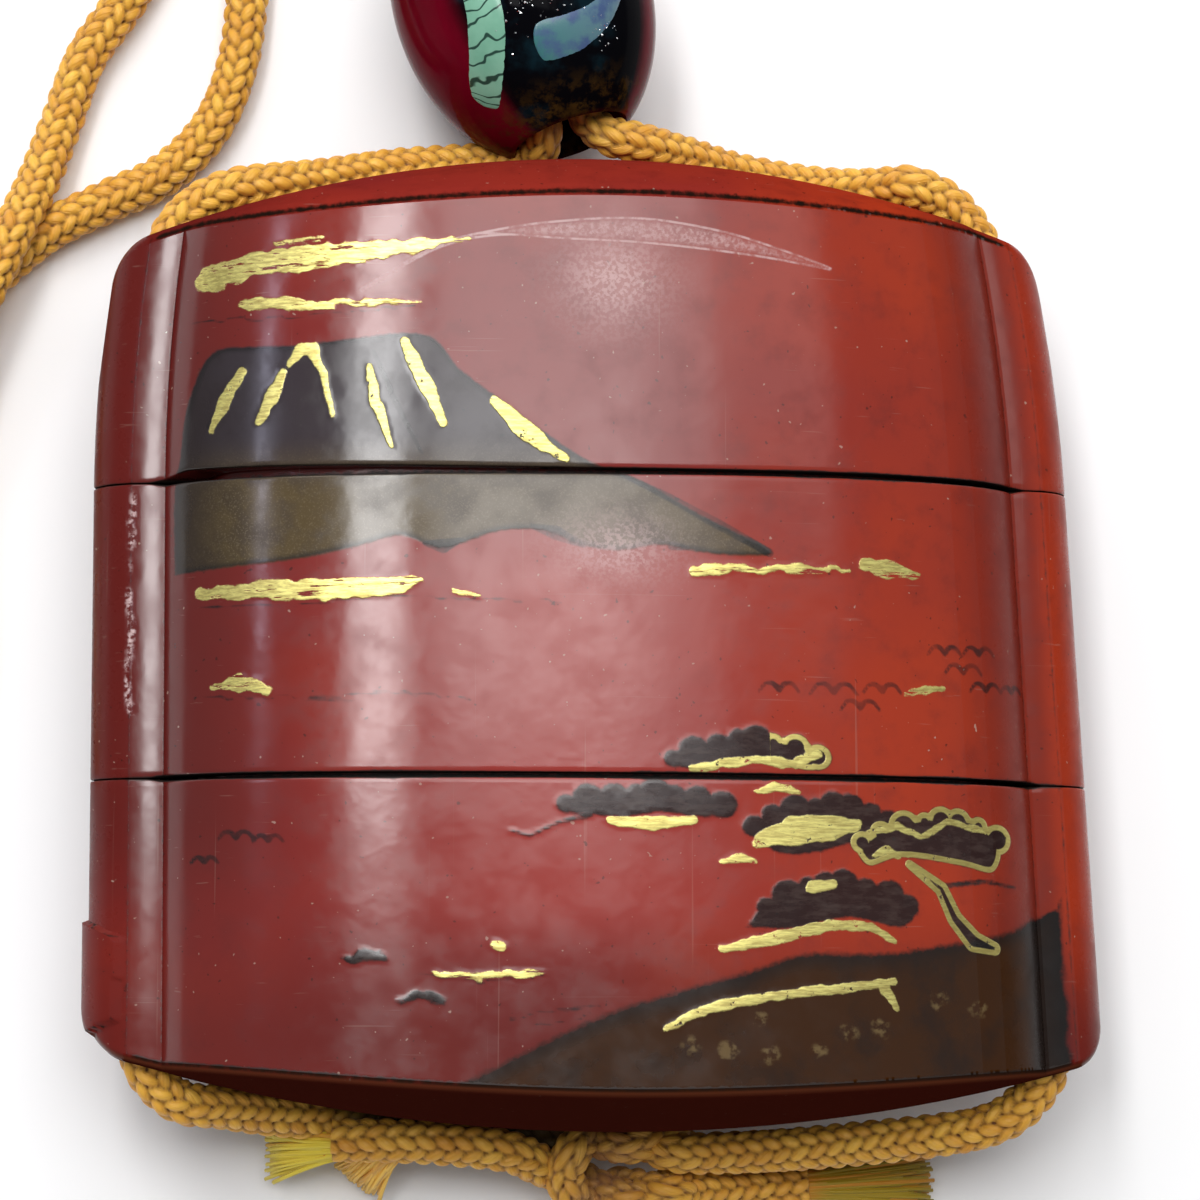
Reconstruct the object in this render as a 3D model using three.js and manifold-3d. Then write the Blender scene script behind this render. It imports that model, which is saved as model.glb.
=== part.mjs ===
// Inro: a small lacquered case of three stacked tiers, threaded on a braided silk cord that a glass bead
// holds shut. It lies on its back on a table, with its painted front up.
// Millimetres, +Z up out of the front, +Y towards the lid, +X to the right of the painted front.
import * as THREE from "three";
import { mergeVertices } from "three/addons/utils/BufferGeometryUtils.js";
import Module from "manifold-3d";

const wasm = await Module();
wasm.setup();

// Driving sizes of the case. Heights along Y are measured from the seam of the lower tier.
const HALF_WIDTH = 30;
const HALF_THICKNESS = 10.5;
const BACK_FLAT_DEPTH = 10.1; // from the middle plane down to the flat spot that the case lies on
const UPPER_SEAM = 17.6;
const TOP_APEX = 37.7;
const BOTTOM_APEX = -20.6;

// Outline: the sides draw in towards the lid, and the lid's own sides are bowed.
const SIDE_TAPER = 0.029;
const LID_BOW = 2.02; // how far a side draws in over LID_BOW_SPAN above the upper seam
const LID_BOW_SPAN = 20;
const LEAN = -0.03; // the old case stands a little out of true
const FAN = 0.0005; // and its right side is a little the taller

// Section: a flattened oval body with a cord runner along each side.
const BODY_REACH = 26.5;
const BODY_POWER = 2.3;
const CREASE = new THREE.Vector2(25.8, 3.05); // where the body meets the runner
const ARRIS = new THREE.Vector2(27.8, 2.86); // the runner's outer edge
const RUNNER_SWELL = new THREE.Vector2(29.6, 1.9); // pulls the runner's outer curve out
const BODY_STEPS = 9; // facets of a quarter of the body
const RUNNER_STEPS = 4;

// Domed ends: how far the end falls from its apex at the front edge and at the side, and its corners.
const TOP_DOME = { atFront: 3.36, atSide: 6.43, halfWidth: 28.2 };
const BOTTOM_DOME = { atFront: 2.29, atSide: 4.35, halfWidth: 30.4 };
const CORNER_RADIUS = 2.2;
const CORNER_FALL = 6; // steep slope of the end past its corner
const DOME_STEPS_X = 36;
const DOME_STEPS_Z = 8;
const DOME_REACH = 33;
const CUTTER_DEPTH = 60;
const OVERRUN = 1; // how far a cut or a joined piece runs past the face that it meets
const MERGE_DISTANCE = 1e-4; // points this close are one point

// Inside: each lower tier carries a thin lip that stands up inside the tier above it.
const SEAM_GAP = 0.3;
const SOCKET = { reach: 24, depth: 9.2 }; // the well that takes a lip
const LIP = { reach: 23.7, depth: 8.9, height: 5 };
const WELL = { reach: 22.7, depth: 7.9 }; // the inside of a lip and of the tier below it
const LIP_ROOM = 0.4; // above a lip's rim
const FLOOR_THICKNESS = 1.3;
const LID_CEILING = 29.4;
const LOWER_FLOOR = -14.5;
const OVAL_STEPS = 9;
const TIER_STEPS = 4; // rings along a tier, for its tapered sides

// Cord, its runners through the tiers, and the bead that slides on it.
const CORD_RADIUS = 1.375;
const CORD_SIDES = 8;
const CHANNEL_RADIUS = 1.75;
const CHANNEL_X = 27.2;
const BEAD = {
  centre: new THREE.Vector3(-4.2, 49.1, 8.6),
  radius: 7.9,
  halfLength: 10.6, // of the whole oval, before its ends are cut at the holes
  holeAt: 9.2,
  boreRadius: 3.0,
  flareRadius: 3.5,
  flareDepth: 2,
  turn: 18, // degrees, seen from the front
  lift: 28, // degrees that its lower hole is raised towards the cord
  rings: 10,
  sides: 24,
};
const KNOT = {
  centre: new THREE.Vector3(2.8, -22.9, 2.8),
  half: new THREE.Vector3(4.5, 2.4, 2.7),
  power: 0.72, // fullness of the knot's lump
  sides: 16,
  rings: 10,
};
const TABLE_GAP = 0.06;

// Cord routes, picked by hand along the cord's middle line.
const MIDDLE = BACK_FLAT_DEPTH; // height of the case's middle plane above the table
const ON_TABLE = CORD_RADIUS + TABLE_GAP;
const LEFT_UPPER_ROUTE = [
  [-4.0, 43.95, 11.2],
  [-3.5, 42.4, 12.15],
  [-3.15, 40.8, 13.5],
  [-3.9, 39.5, 14.3],
  [-6.0, 38.85, 13.6],
  [-8.6, 38.8, 11.9],
  [-12.5, 38.35, 10.2],
  [-16.6, 37.6, 9.6],
  [-19.3, 36.95, 9.8],
  [-21.0, 36.45, 10.0],
];
const LEFT_INNER_ENDS = {
  top: [
    [-21.6, 36.2, MIDDLE],
    [-23.5, 35.2, MIDDLE],
    [-25.1, 33.5, MIDDLE],
    [-26.1, 31.4, MIDDLE],
  ],
  bottom: [
    [-27.1, -14.6, MIDDLE],
    [-26.4, -17.2, MIDDLE],
    [-24.7, -19.1, 9.6],
    [-23.6, -19.6, 9.3],
  ],
};
const LEFT_LOWER_ROUTE = [
  [-23.2, -19.75, 9.2],
  [-19.1, -20.8, 7.9],
  [-14.0, -21.6, 6.4],
  [-8.5, -22.2, 5.0],
  [-4.4, -22.5, 4.2],
  [-2.0, -22.6, 3.9],
];
const RIGHT_UPPER_ROUTE = [
  [-1.3, 44.85, 11.2],
  [-0.9, 43.2, 12.2],
  [-0.25, 41.7, 13.3],
  [1.0, 40.5, 13.9],
  [3.0, 39.9, 13.4],
  [6.0, 39.5, 12.4],
  [9.4, 39.1, 11.2],
  [14.2, 38.2, 10.2],
  [17.2, 37.5, 10.0],
  [19.0, 37.05, MIDDLE],
];
const RIGHT_INNER_ENDS = {
  top: [
    [19.5, 36.9, MIDDLE],
    [21.6, 36.0, MIDDLE],
    [23.2, 34.3, MIDDLE],
    [24.2, 32.2, MIDDLE],
  ],
  bottom: [
    [27.95, -14.8, MIDDLE],
    [27.3, -17.4, MIDDLE],
    [25.7, -19.4, 9.7],
    [24.6, -20.05, 9.4],
  ],
};
const RIGHT_LOWER_ROUTE = [
  [23.9, -20.3, 9.25],
  [19.6, -21.4, 7.9],
  [14.6, -22.2, 6.0],
  [10.6, -22.6, 4.6],
  [8.0, -22.8, 3.9],
];
const CHANNEL_HEIGHTS = [28.6, 23, 17.6, 9, 0, -6, -11.6];
const LEFT_TAIL_ROUTE = [
  [-2.4, -24.3, ON_TABLE],
  [-6.0, -24.5, ON_TABLE],
  [-10.2, -24.0, ON_TABLE],
  [-15.0, -23.2, ON_TABLE],
];
const RIGHT_TAIL_ROUTE = [
  [8.0, -24.5, ON_TABLE],
  [12.0, -24.6, ON_TABLE],
  [16.0, -24.2, ON_TABLE],
  [20.6, -23.8, ON_TABLE],
];
const LOOP_ROUTE = [
  [-4.45, 45.2, 10.5],
  [-5.6, 48.65, 8.6],
  [-6.95, 52.85, 6.25],
  [-8.1, 56.4, 4.3],
  [-9.6, 60.8, 2.2],
  [-11.6, 64.0, ON_TABLE],
  [-14.9, 65.4, ON_TABLE],
  [-18.3, 64.0, ON_TABLE],
  [-20.1, 60.4, ON_TABLE],
  [-20.6, 55.6, ON_TABLE],
  [-20.8, 50.6, ON_TABLE],
  [-21.4, 45.4, ON_TABLE],
  [-23.0, 41.3, ON_TABLE],
  [-25.9, 38.2, ON_TABLE],
  [-29.6, 36.3, ON_TABLE],
  [-33.2, 34.3, ON_TABLE],
  [-37.2, 30.6, ON_TABLE],
  [-41.6, 25.2, ON_TABLE],
  [-46.0, 18.6, ON_TABLE],
  [-49.0, 12.0, ON_TABLE],
  [-49.4, 6.8, ON_TABLE],
  [-47.8, 3.0, ON_TABLE],
  [-44.0, 1.4, ON_TABLE],
  [-40.2, 3.0, ON_TABLE],
  [-38.6, 6.8, ON_TABLE],
  [-38.4, 11.6, ON_TABLE],
  [-38.6, 17.6, 1.7],
  [-38.4, 23.4, 3.2],
  [-37.4, 28.4, 4.3],
  [-35.4, 33.2, 4.0],
  [-33.6, 37.4, 2.4],
  [-32.2, 41.4, ON_TABLE],
  [-30.8, 45.4, ON_TABLE],
  [-28.2, 49.4, ON_TABLE],
  [-25.8, 54.2, ON_TABLE],
  [-24.2, 60.0, ON_TABLE],
  [-21.8, 65.4, ON_TABLE],
  [-17.2, 68.6, ON_TABLE],
  [-11.6, 68.0, 1.6],
  [-7.3, 63.0, 2.4],
  [-5.35, 57.3, 4.3],
  [-4.2, 53.75, 6.25],
  [-2.85, 49.55, 8.6],
  [-1.7, 46.1, 10.5],
];
const LOOP_STEPS = 46;
const UPPER_STEPS = 12;
const INNER_STEPS = 18;
const LOWER_STEPS = 8;
const TAIL_STEPS = 4;

// Colours of the real materials.
const RED_LACQUER = new THREE.MeshStandardMaterial({ color: 0x7d3230, roughness: 0.25, metalness: 0 });
const GOLD_SILK = new THREE.MeshStandardMaterial({ color: 0xcd912d, roughness: 0.7, metalness: 0 });
const DARK_GLASS = new THREE.MeshStandardMaterial({ color: 0x35060f, roughness: 0.08, metalness: 0 });

// A closed three.js geometry as a solid that can be cut.
function solidOf(geometry) {
  const bare = geometry.index ? geometry.toNonIndexed() : geometry.clone();
  bare.deleteAttribute("normal");
  bare.deleteAttribute("uv");
  const merged = mergeVertices(bare, MERGE_DISTANCE);
  return new wasm.Manifold(
    new wasm.Mesh({
      numProp: 3,
      vertProperties: merged.attributes.position.array,
      triVerts: new Uint32Array(merged.index.array),
    }),
  );
}

// A cut solid as a three.js geometry.
function geometryOf(solid) {
  const mesh = solid.getMesh();
  const geometry = new THREE.BufferGeometry();
  geometry.setAttribute("position", new THREE.BufferAttribute(new Float32Array(mesh.vertProperties), 3));
  geometry.setIndex(new THREE.BufferAttribute(new Uint32Array(mesh.triVerts), 1));
  geometry.computeVertexNormals();
  return geometry;
}

// Half of the case's width at a height.
function halfWidthAt(y) {
  const aboveSeam = Math.max(0, y - UPPER_SEAM) / LID_BOW_SPAN;
  return HALF_WIDTH - SIDE_TAPER * y - LID_BOW * aboveSeam ** 2;
}

// Moves a geometry's points: first drawn in with the sides where asked, then set out of true as a whole.
function shaped(geometry, drawnIn) {
  const place = geometry.attributes.position;
  for (let i = 0; i < place.count; i++) {
    const y = place.getY(i);
    const x = place.getX(i) * (drawnIn ? halfWidthAt(y) / HALF_WIDTH : 1);
    place.setXYZ(i, x + LEAN * y, y + FAN * x * y, place.getZ(i) + MIDDLE);
  }
  return geometry;
}

// A quarter of an oval from its end on the X axis, or from a start angle, up to its crown.
function ovalQuarter(reach, depth, steps, startAngle) {
  const points = [];
  for (let i = 0; i <= steps; i++) {
    const angle = startAngle + ((Math.PI / 2 - startAngle) * i) / steps;
    const x = reach * Math.cos(angle) ** (2 / BODY_POWER);
    const z = depth * Math.sin(angle) ** (2 / BODY_POWER);
    points.push(new THREE.Vector2(x, z));
  }
  return points;
}

// A closed outline from the quarter that runs from the right side up to the crown.
function mirroredOutline(quarter, lowest) {
  const left = quarter.map((p) => new THREE.Vector2(-p.x, p.y)).reverse();
  const upper = [...quarter, ...left.slice(1)];
  const lower = upper
    .slice(1, -1)
    .map((p) => new THREE.Vector2(p.x, Math.max(-p.y, lowest)))
    .reverse();
  return new THREE.Shape([...upper, ...lower]);
}

// The case's outer section.
function bodySection() {
  const creaseHeight = (CREASE.y / HALF_THICKNESS) ** (BODY_POWER / 2);
  const body = ovalQuarter(BODY_REACH, HALF_THICKNESS, BODY_STEPS, Math.asin(creaseHeight));
  const runner = new THREE.QuadraticBezierCurve(new THREE.Vector2(HALF_WIDTH, 0), RUNNER_SWELL, ARRIS);
  return mirroredOutline([...runner.getPoints(RUNNER_STEPS), ...body], -BACK_FLAT_DEPTH);
}

function ovalSection(size) {
  return mirroredOutline(ovalQuarter(size.reach, size.depth, OVAL_STEPS, 0), -size.depth);
}

// A section run along Y between two heights, drawn in with the case's sides.
function tierPrism(section, low, high) {
  const options = { depth: high - low, steps: TIER_STEPS, bevelEnabled: false };
  const prism = new THREE.ExtrudeGeometry(section, options);
  prism.rotateX(Math.PI / 2).translate(0, high, 0);
  return solidOf(shaped(prism, true));
}

// How far a domed end falls from its apex at a place on it.
function domeFall(dome, x, z) {
  const side = Math.abs(x);
  const past = side - (dome.halfWidth - CORNER_RADIUS);
  const round = Math.min(Math.max(past, 0), CORNER_RADIUS);
  const corner = CORNER_RADIUS - Math.sqrt(CORNER_RADIUS ** 2 - round ** 2);
  const beyond = Math.max(0, past - CORNER_RADIUS) * CORNER_FALL;
  return dome.atSide * (x / HALF_WIDTH) ** 2 + dome.atFront * (z / HALF_THICKNESS) ** 2 + corner + beyond;
}

// Everything on the inner side of a domed end. The grid is finer towards the corners.
function domeCutter(dome, apex) {
  const outward = Math.sign(apex);
  const size = [2, CUTTER_DEPTH, 2 * (HALF_THICKNESS + OVERRUN)]; // from -1 to 1 across, until it is spread
  const block = new THREE.BoxGeometry(...size, DOME_STEPS_X, 1, DOME_STEPS_Z);
  const place = block.attributes.position;
  for (let i = 0; i < place.count; i++) {
    const x = DOME_REACH * Math.sin((place.getX(i) * Math.PI) / 2);
    const z = place.getZ(i);
    const outer = place.getY(i) * outward > 0;
    const y = outer ? apex - outward * domeFall(dome, x, z) : apex - outward * CUTTER_DEPTH;
    place.setXYZ(i, x, y, z);
  }
  return solidOf(shaped(block, false));
}

// A round tube along a route, closed at both ends.
function tube(curve, radius, steps) {
  const ring = [];
  for (let i = 0; i < CORD_SIDES; i++) {
    const angle = (2 * Math.PI * i) / CORD_SIDES;
    ring.push(new THREE.Vector2(radius * Math.cos(angle), radius * Math.sin(angle)));
  }
  const options = { steps, extrudePath: curve, bevelEnabled: false };
  return new THREE.ExtrudeGeometry(new THREE.Shape(ring), options);
}

function routeCurve(route) {
  return new THREE.CatmullRomCurve3(route.map((p) => new THREE.Vector3(...p)));
}

// The stretch of cord inside one side of the case, from mouth to mouth.
function innerCurve(side, ends) {
  const within = CHANNEL_HEIGHTS.map((y) => {
    const x = (side * CHANNEL_X * halfWidthAt(y)) / HALF_WIDTH;
    return [x + LEAN * y, y + FAN * x * y, MIDDLE];
  });
  return routeCurve([...ends.top, ...within, ...ends.bottom]);
}

const leftInner = innerCurve(-1, LEFT_INNER_ENDS);
const rightInner = innerCurve(1, RIGHT_INNER_ENDS);

// The two runners that the cord passes through, with the grooves it has worn at their mouths.
function channels() {
  const left = solidOf(tube(leftInner, CHANNEL_RADIUS, INNER_STEPS));
  const right = solidOf(tube(rightInner, CHANNEL_RADIUS, INNER_STEPS));
  return left.add(right);
}

const runners = channels();
const section = bodySection();
const socketSection = ovalSection(SOCKET);
const lipSection = ovalSection(LIP);
const wellSection = ovalSection(WELL);

function lid() {
  const low = UPPER_SEAM + SEAM_GAP / 2;
  const uncut = tierPrism(section, low, TOP_APEX + OVERRUN);
  const block = uncut.intersect(domeCutter(TOP_DOME, TOP_APEX));
  const hollow = tierPrism(socketSection, low - OVERRUN, LID_CEILING);
  return block.subtract(hollow).subtract(runners);
}

function upperCase() {
  const low = SEAM_GAP / 2;
  const high = UPPER_SEAM - SEAM_GAP / 2;
  const socketTop = LIP.height + LIP_ROOM;
  const lip = tierPrism(lipSection, high - OVERRUN, high + LIP.height);
  const socket = tierPrism(socketSection, low - OVERRUN, socketTop);
  const well = tierPrism(wellSection, socketTop + FLOOR_THICKNESS, high + LIP.height + OVERRUN);
  return tierPrism(section, low, high).add(lip).subtract(socket).subtract(well).subtract(runners);
}

function lowerCase() {
  const high = -SEAM_GAP / 2;
  const uncut = tierPrism(section, BOTTOM_APEX - OVERRUN, high);
  const block = uncut.intersect(domeCutter(BOTTOM_DOME, BOTTOM_APEX));
  const lip = tierPrism(lipSection, high - OVERRUN, high + LIP.height);
  const well = tierPrism(wellSection, LOWER_FLOOR, high + LIP.height + OVERRUN);
  return block.add(lip).subtract(well).subtract(runners);
}

// The bead: an oval cut off at its two holes, with a bore for two strands that flares at both ends.
function beadGeometry() {
  const profile = [];
  for (let i = 0; i <= BEAD.rings; i++) {
    const along = BEAD.holeAt * (-1 + (2 * i) / BEAD.rings);
    const out = BEAD.radius * Math.sqrt(1 - (along / BEAD.halfLength) ** 2);
    profile.push(new THREE.Vector2(out, along));
  }
  const straight = BEAD.holeAt - BEAD.flareDepth;
  profile.push(new THREE.Vector2(BEAD.flareRadius, BEAD.holeAt));
  profile.push(new THREE.Vector2(BEAD.boreRadius, straight));
  profile.push(new THREE.Vector2(BEAD.boreRadius, -straight));
  profile.push(new THREE.Vector2(BEAD.flareRadius, -BEAD.holeAt));
  profile.push(profile[0].clone());
  return new THREE.LatheGeometry(profile, BEAD.sides);
}

// The knot's lump, fuller than a plain oval.
function knotGeometry() {
  const lump = new THREE.SphereGeometry(1, KNOT.sides, KNOT.rings);
  const place = lump.attributes.position;
  const fuller = (v) => Math.sign(v) * Math.abs(v) ** KNOT.power;
  for (let i = 0; i < place.count; i++) {
    const p = new THREE.Vector3().fromBufferAttribute(place, i);
    const long = Math.max(1, Math.hypot(fuller(p.x), fuller(p.y), fuller(p.z)));
    const grown = new THREE.Vector3(fuller(p.x), fuller(p.y), fuller(p.z)).divideScalar(long);
    place.setXYZ(i, ...grown.multiply(KNOT.half).toArray());
  }
  return lump;
}

function named(name, geometry, material) {
  const mesh = new THREE.Mesh(geometry, material);
  mesh.name = name;
  return mesh;
}

function cordMesh(name, curve, steps) {
  return named(name, tube(curve, CORD_RADIUS, steps), GOLD_SILK);
}

const caseGroup = new THREE.Group();
caseGroup.add(named("lid", geometryOf(lid()), RED_LACQUER));
caseGroup.add(named("upper_case", geometryOf(upperCase()), RED_LACQUER));
caseGroup.add(named("lower_case", geometryOf(lowerCase()), RED_LACQUER));

const bead = named("ojime_bead", beadGeometry(), DARK_GLASS);
bead.position.copy(BEAD.centre);
bead.rotation.order = "ZXY";
bead.rotation.z = THREE.MathUtils.degToRad(BEAD.turn);
bead.rotation.x = -THREE.MathUtils.degToRad(BEAD.lift);

const knot = named("cord_knot", knotGeometry(), GOLD_SILK);
knot.position.copy(KNOT.centre);

const cordGroup = new THREE.Group();
cordGroup.add(bead, knot);
cordGroup.add(cordMesh("cord_left_upper", routeCurve(LEFT_UPPER_ROUTE), UPPER_STEPS));
cordGroup.add(cordMesh("cord_left_inner", leftInner, INNER_STEPS));
cordGroup.add(cordMesh("cord_left_lower", routeCurve(LEFT_LOWER_ROUTE), LOWER_STEPS));
cordGroup.add(cordMesh("cord_left_tail", routeCurve(LEFT_TAIL_ROUTE), TAIL_STEPS));
cordGroup.add(cordMesh("cord_right_upper", routeCurve(RIGHT_UPPER_ROUTE), UPPER_STEPS));
cordGroup.add(cordMesh("cord_right_inner", rightInner, INNER_STEPS));
cordGroup.add(cordMesh("cord_right_lower", routeCurve(RIGHT_LOWER_ROUTE), LOWER_STEPS));
cordGroup.add(cordMesh("cord_right_tail", routeCurve(RIGHT_TAIL_ROUTE), TAIL_STEPS));
cordGroup.add(cordMesh("cord_loop", routeCurve(LOOP_ROUTE), LOOP_STEPS));

// The origin is on the table, under the middle of the case.
const part = new THREE.Group();
part.add(caseGroup, cordGroup);
const middle = new THREE.Box3().setFromObject(caseGroup).getCenter(new THREE.Vector3());
part.position.set(-middle.x, -middle.y, 0);

export default part;
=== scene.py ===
# Inro: a small lacquered case of three stacked tiers on a braided silk cord with a glass bead.
# Sizes are millimetres in the case's own frame, whose Y is measured from the seam of the lower tier.
import math

import bpy
import numpy as np
from mathutils import Matrix, Vector


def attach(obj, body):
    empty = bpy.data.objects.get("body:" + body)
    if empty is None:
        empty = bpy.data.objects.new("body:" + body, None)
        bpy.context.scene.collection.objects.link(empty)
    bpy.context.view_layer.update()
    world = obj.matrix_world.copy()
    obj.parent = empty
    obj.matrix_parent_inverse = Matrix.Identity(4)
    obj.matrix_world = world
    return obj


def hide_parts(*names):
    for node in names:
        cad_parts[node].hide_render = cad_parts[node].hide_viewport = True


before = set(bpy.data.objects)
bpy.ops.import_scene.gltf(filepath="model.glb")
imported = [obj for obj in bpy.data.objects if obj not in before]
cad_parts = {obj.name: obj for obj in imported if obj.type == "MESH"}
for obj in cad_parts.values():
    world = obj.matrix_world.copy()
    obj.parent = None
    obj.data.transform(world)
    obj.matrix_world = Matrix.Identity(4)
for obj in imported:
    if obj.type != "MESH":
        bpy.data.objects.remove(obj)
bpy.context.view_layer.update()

MM = 0.001
CASE_ORIGIN = np.array([-0.379, -8.55, 0.0])  # the lower seam's middle in the part's frame
MIDDLE = 10.1  # height of the case's middle plane above the table

# Camera, fitted to the photograph's outline.
CAMERA_PLACE = np.array([-31.62, -13.99, 256.95])
CAMERA_TURN = (5.76, -7.37, 0.05)  # degrees
CAMERA_LENS = 124.77
SENSOR = 36.0

# Case outline and section.
HALF_WIDTH = 30.0
HALF_THICKNESS = 10.5
BACK_FLAT_DEPTH = 10.1
UPPER_SEAM = 17.6
TOP_APEX = 37.7
BOTTOM_APEX = -20.6
SIDE_TAPER = 0.029
LID_BOW = 2.02
LID_BOW_SPAN = 20.0
LEAN = -0.03
FAN = 0.0005
BODY_REACH = 26.5
BODY_POWER = 2.3
CREASE = (25.8, 3.05)
ARRIS = (27.8, 2.695)
LEDGE_FALL = (0.087, 0.0453)  # slope and curve of the ledge from the crease out to the arris
RUNNER_SWELL = (29.6, 1.9)
TOP_DOME = {"at_front": 3.36, "at_side": 6.43, "half_width": 28.2}
BOTTOM_DOME = {"at_front": 2.29, "at_side": 4.35, "half_width": 30.4}
CORNER_RADIUS = 2.2
CORNER_FALL = 6.0
SEAM_GAP = 0.3
SEAM_ROUND = 0.14
END_ROUND = 0.4
SOCKET = (24.0, 9.2)
LIP = (23.7, 8.9)
WELL = (22.7, 7.9)
LIP_HEIGHT = 5.0
LIP_ROOM = 0.4
FLOOR_THICKNESS = 1.3
LID_CEILING = 29.4
LOWER_FLOOR = -14.5
WORN_SEAM = 0.42  # how far the lid's lower edge is worn away towards its left end
OVERRUN = 1.0
SKIN = 0.22  # how near a point lies to the oval where it counts as the front or the back
PAINT_RAISED = 0.015
FRAGMENT_SHIFT = 0.38  # how far the cracked piece of the left runner stands out
CHIP_DEPTH = 0.06
SEAM_CLOSED = 0.85  # share of the seams' gap that is closed at the sides

# Spacing of the surface's points.
FRONT_STEP = 0.18
BACK_STEP = 0.6
RUNNER_STEP = 0.2
ROW_STEP = 0.19
DOME_RINGS = 34

# Cord and its routes.
CORD_RADIUS = 1.375
CHANNEL_RADIUS = 1.75
CHANNEL_X = 27.2
ON_TABLE = 1.435
LEFT_UPPER_ROUTE = [
    (-3.6, 38.6, 7.8), (-5.6, 38.35, 6.7), (-8.6, 38.15, 6.4), (-12.5, 37.7, 6.8), (-16.6, 36.75, 8.0),
    (-19.3, 36.15, 9.3), (-21.2, 35.8, 9.9),
]
LEFT_INNER_TOP = [(-22.3, 35.5, MIDDLE), (-23.9, 34.7, MIDDLE), (-25.2, 33.4, MIDDLE), (-26.1, 31.4, MIDDLE)]
LEFT_INNER_BOTTOM = [(-27.1, -14.6, MIDDLE), (-26.5, -16.9, MIDDLE), (-25.0, -18.5, 9.6),
                     (-23.9, -18.95, 9.2)]
LEFT_LOWER_ROUTE = [
    (-22.2, -19.1, 8.2), (-19.2, -19.55, 6.2), (-15.0, -19.95, 4.3), (-10.5, -20.35, 3.1),
    (-6.0, -20.75, 2.6),
    (-2.8, -20.95, 2.7),
]
RIGHT_UPPER_ROUTE = [
    (0.8, 39.6, 10.0), (2.8, 39.15, 9.8), (5.6, 38.8, 8.2), (9.4, 38.1, 6.5), (14.2, 37.35, 6.8),
    (17.2, 37.0, 8.5), (19.0, 36.95, 9.8),
]
RIGHT_INNER_TOP = [(19.5, 36.9, MIDDLE), (21.6, 36.0, MIDDLE), (23.2, 34.3, MIDDLE), (24.2, 32.2, MIDDLE)]
RIGHT_INNER_BOTTOM = [(27.95, -14.8, MIDDLE), (27.3, -17.4, MIDDLE), (25.7, -19.4, 9.7), (24.6, -20.05, 9.4)]
RIGHT_LOWER_ROUTE = [
    (23.4, -20.5, 8.9), (20.5, -21.0, 7.8), (17.0, -21.4, 6.7), (12.6, -21.8, 5.9), (8.4, -22.0, 5.4),
]
CHANNEL_HEIGHTS = [28.6, 23.0, 17.6, 9.0, 0.0, -6.0, -11.6]
LEFT_TAIL_ROUTE = [
    (-2.2, -22.9, 3.9), (-4.6, -21.9, 5.6), (-8.8, -21.35, 6.0), (-12.2, -21.2, 5.8), (-15.2, -21.2, 5.2),
]
LEFT_FRAY = {"count": 240, "reach": 3.6, "flare": 1.5, "wild": 0.3, "seed": 5}
RIGHT_FRAY = {"count": 260, "reach": 7.4, "flare": 1.0, "wild": 0.1, "seed": 6}
LEFT_TUFT = {"count": 110, "reach": 2.0, "flare": 0.7, "wild": 0.35, "seed": 9}
TUFT_ROUTE = [(-11.4, -21.2, 5.2), (-12.4, -22.4, 4.4)]
RIGHT_TAIL_ROUTE = [(6.6, -24.4, 3.2), (9.6, -24.4, 2.0), (12.0, -24.3, 1.6), (14.2, -24.2, 1.5)]
LOOP_ROUTE = [
    (-10.2, 61.0, 3.4), (-11.9, 64.0, ON_TABLE), (-14.9, 65.4, ON_TABLE), (-18.3, 64.0, ON_TABLE),
    (-20.1, 60.4, ON_TABLE), (-20.6, 55.6, ON_TABLE), (-20.8, 50.6, ON_TABLE), (-21.4, 45.4, ON_TABLE),
    (-23.0, 41.3, ON_TABLE), (-25.9, 38.2, ON_TABLE), (-29.6, 36.3, ON_TABLE), (-33.2, 34.3, ON_TABLE),
    (-37.2, 30.6, ON_TABLE), (-41.6, 25.2, ON_TABLE), (-46.0, 18.6, ON_TABLE), (-49.0, 12.0, ON_TABLE),
    (-49.4, 6.8, ON_TABLE), (-47.8, 3.0, ON_TABLE), (-44.0, 1.4, ON_TABLE), (-40.2, 3.0, ON_TABLE),
    (-38.6, 6.8, ON_TABLE), (-38.4, 11.6, ON_TABLE), (-38.6, 17.6, 1.7), (-38.4, 23.4, 3.2),
    (-37.4, 28.4, 4.3), (-35.4, 33.2, 4.0), (-33.6, 37.4, 2.4), (-32.2, 41.4, ON_TABLE),
    (-30.8, 45.4, ON_TABLE), (-28.2, 49.4, ON_TABLE), (-25.8, 54.2, ON_TABLE), (-24.2, 60.0, ON_TABLE),
    (-21.8, 65.4, ON_TABLE), (-17.2, 68.6, ON_TABLE), (-11.6, 68.0, 1.6), (-7.6, 63.0, 3.2),
]

# Reef knot: one end's way through it, as (along, across, out), and the directions of its face.
KNOT_CENTRE = np.array([2.6, -22.8, 3.7])
KNOT_ACROSS = np.array([0.0, 0.94, 0.34])
KNOT_OUT = np.array([0.0, -0.34, 0.94])
KNOT_WAY = [
    (-2.6, 1.35, -1.2), (0.0, 1.75, 1.1), (2.2, 2.0, 0.2), (3.4, 1.2, -1.2), (3.7, 0.0, -1.2),
    (3.4, -1.2, -1.2), (2.2, -2.0, 0.2), (0.0, -1.75, 1.1), (-2.6, -1.35, -1.2),
]

# Braid: plump grains of silk in columns that slant by turns each way.
BRAID_COLUMNS = 8
GRAIN_PITCH = 1.12
GRAIN_HALF_LENGTH = 0.88
GRAIN_HALF_WIDTH = 0.52
GRAIN_SLANT = 42.0  # degrees from the cord's length
GRAIN_HEIGHT = 0.58
CORE_RADIUS = 0.80
BRAID_SIDES = 48
BRAID_STEP = 0.15

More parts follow.
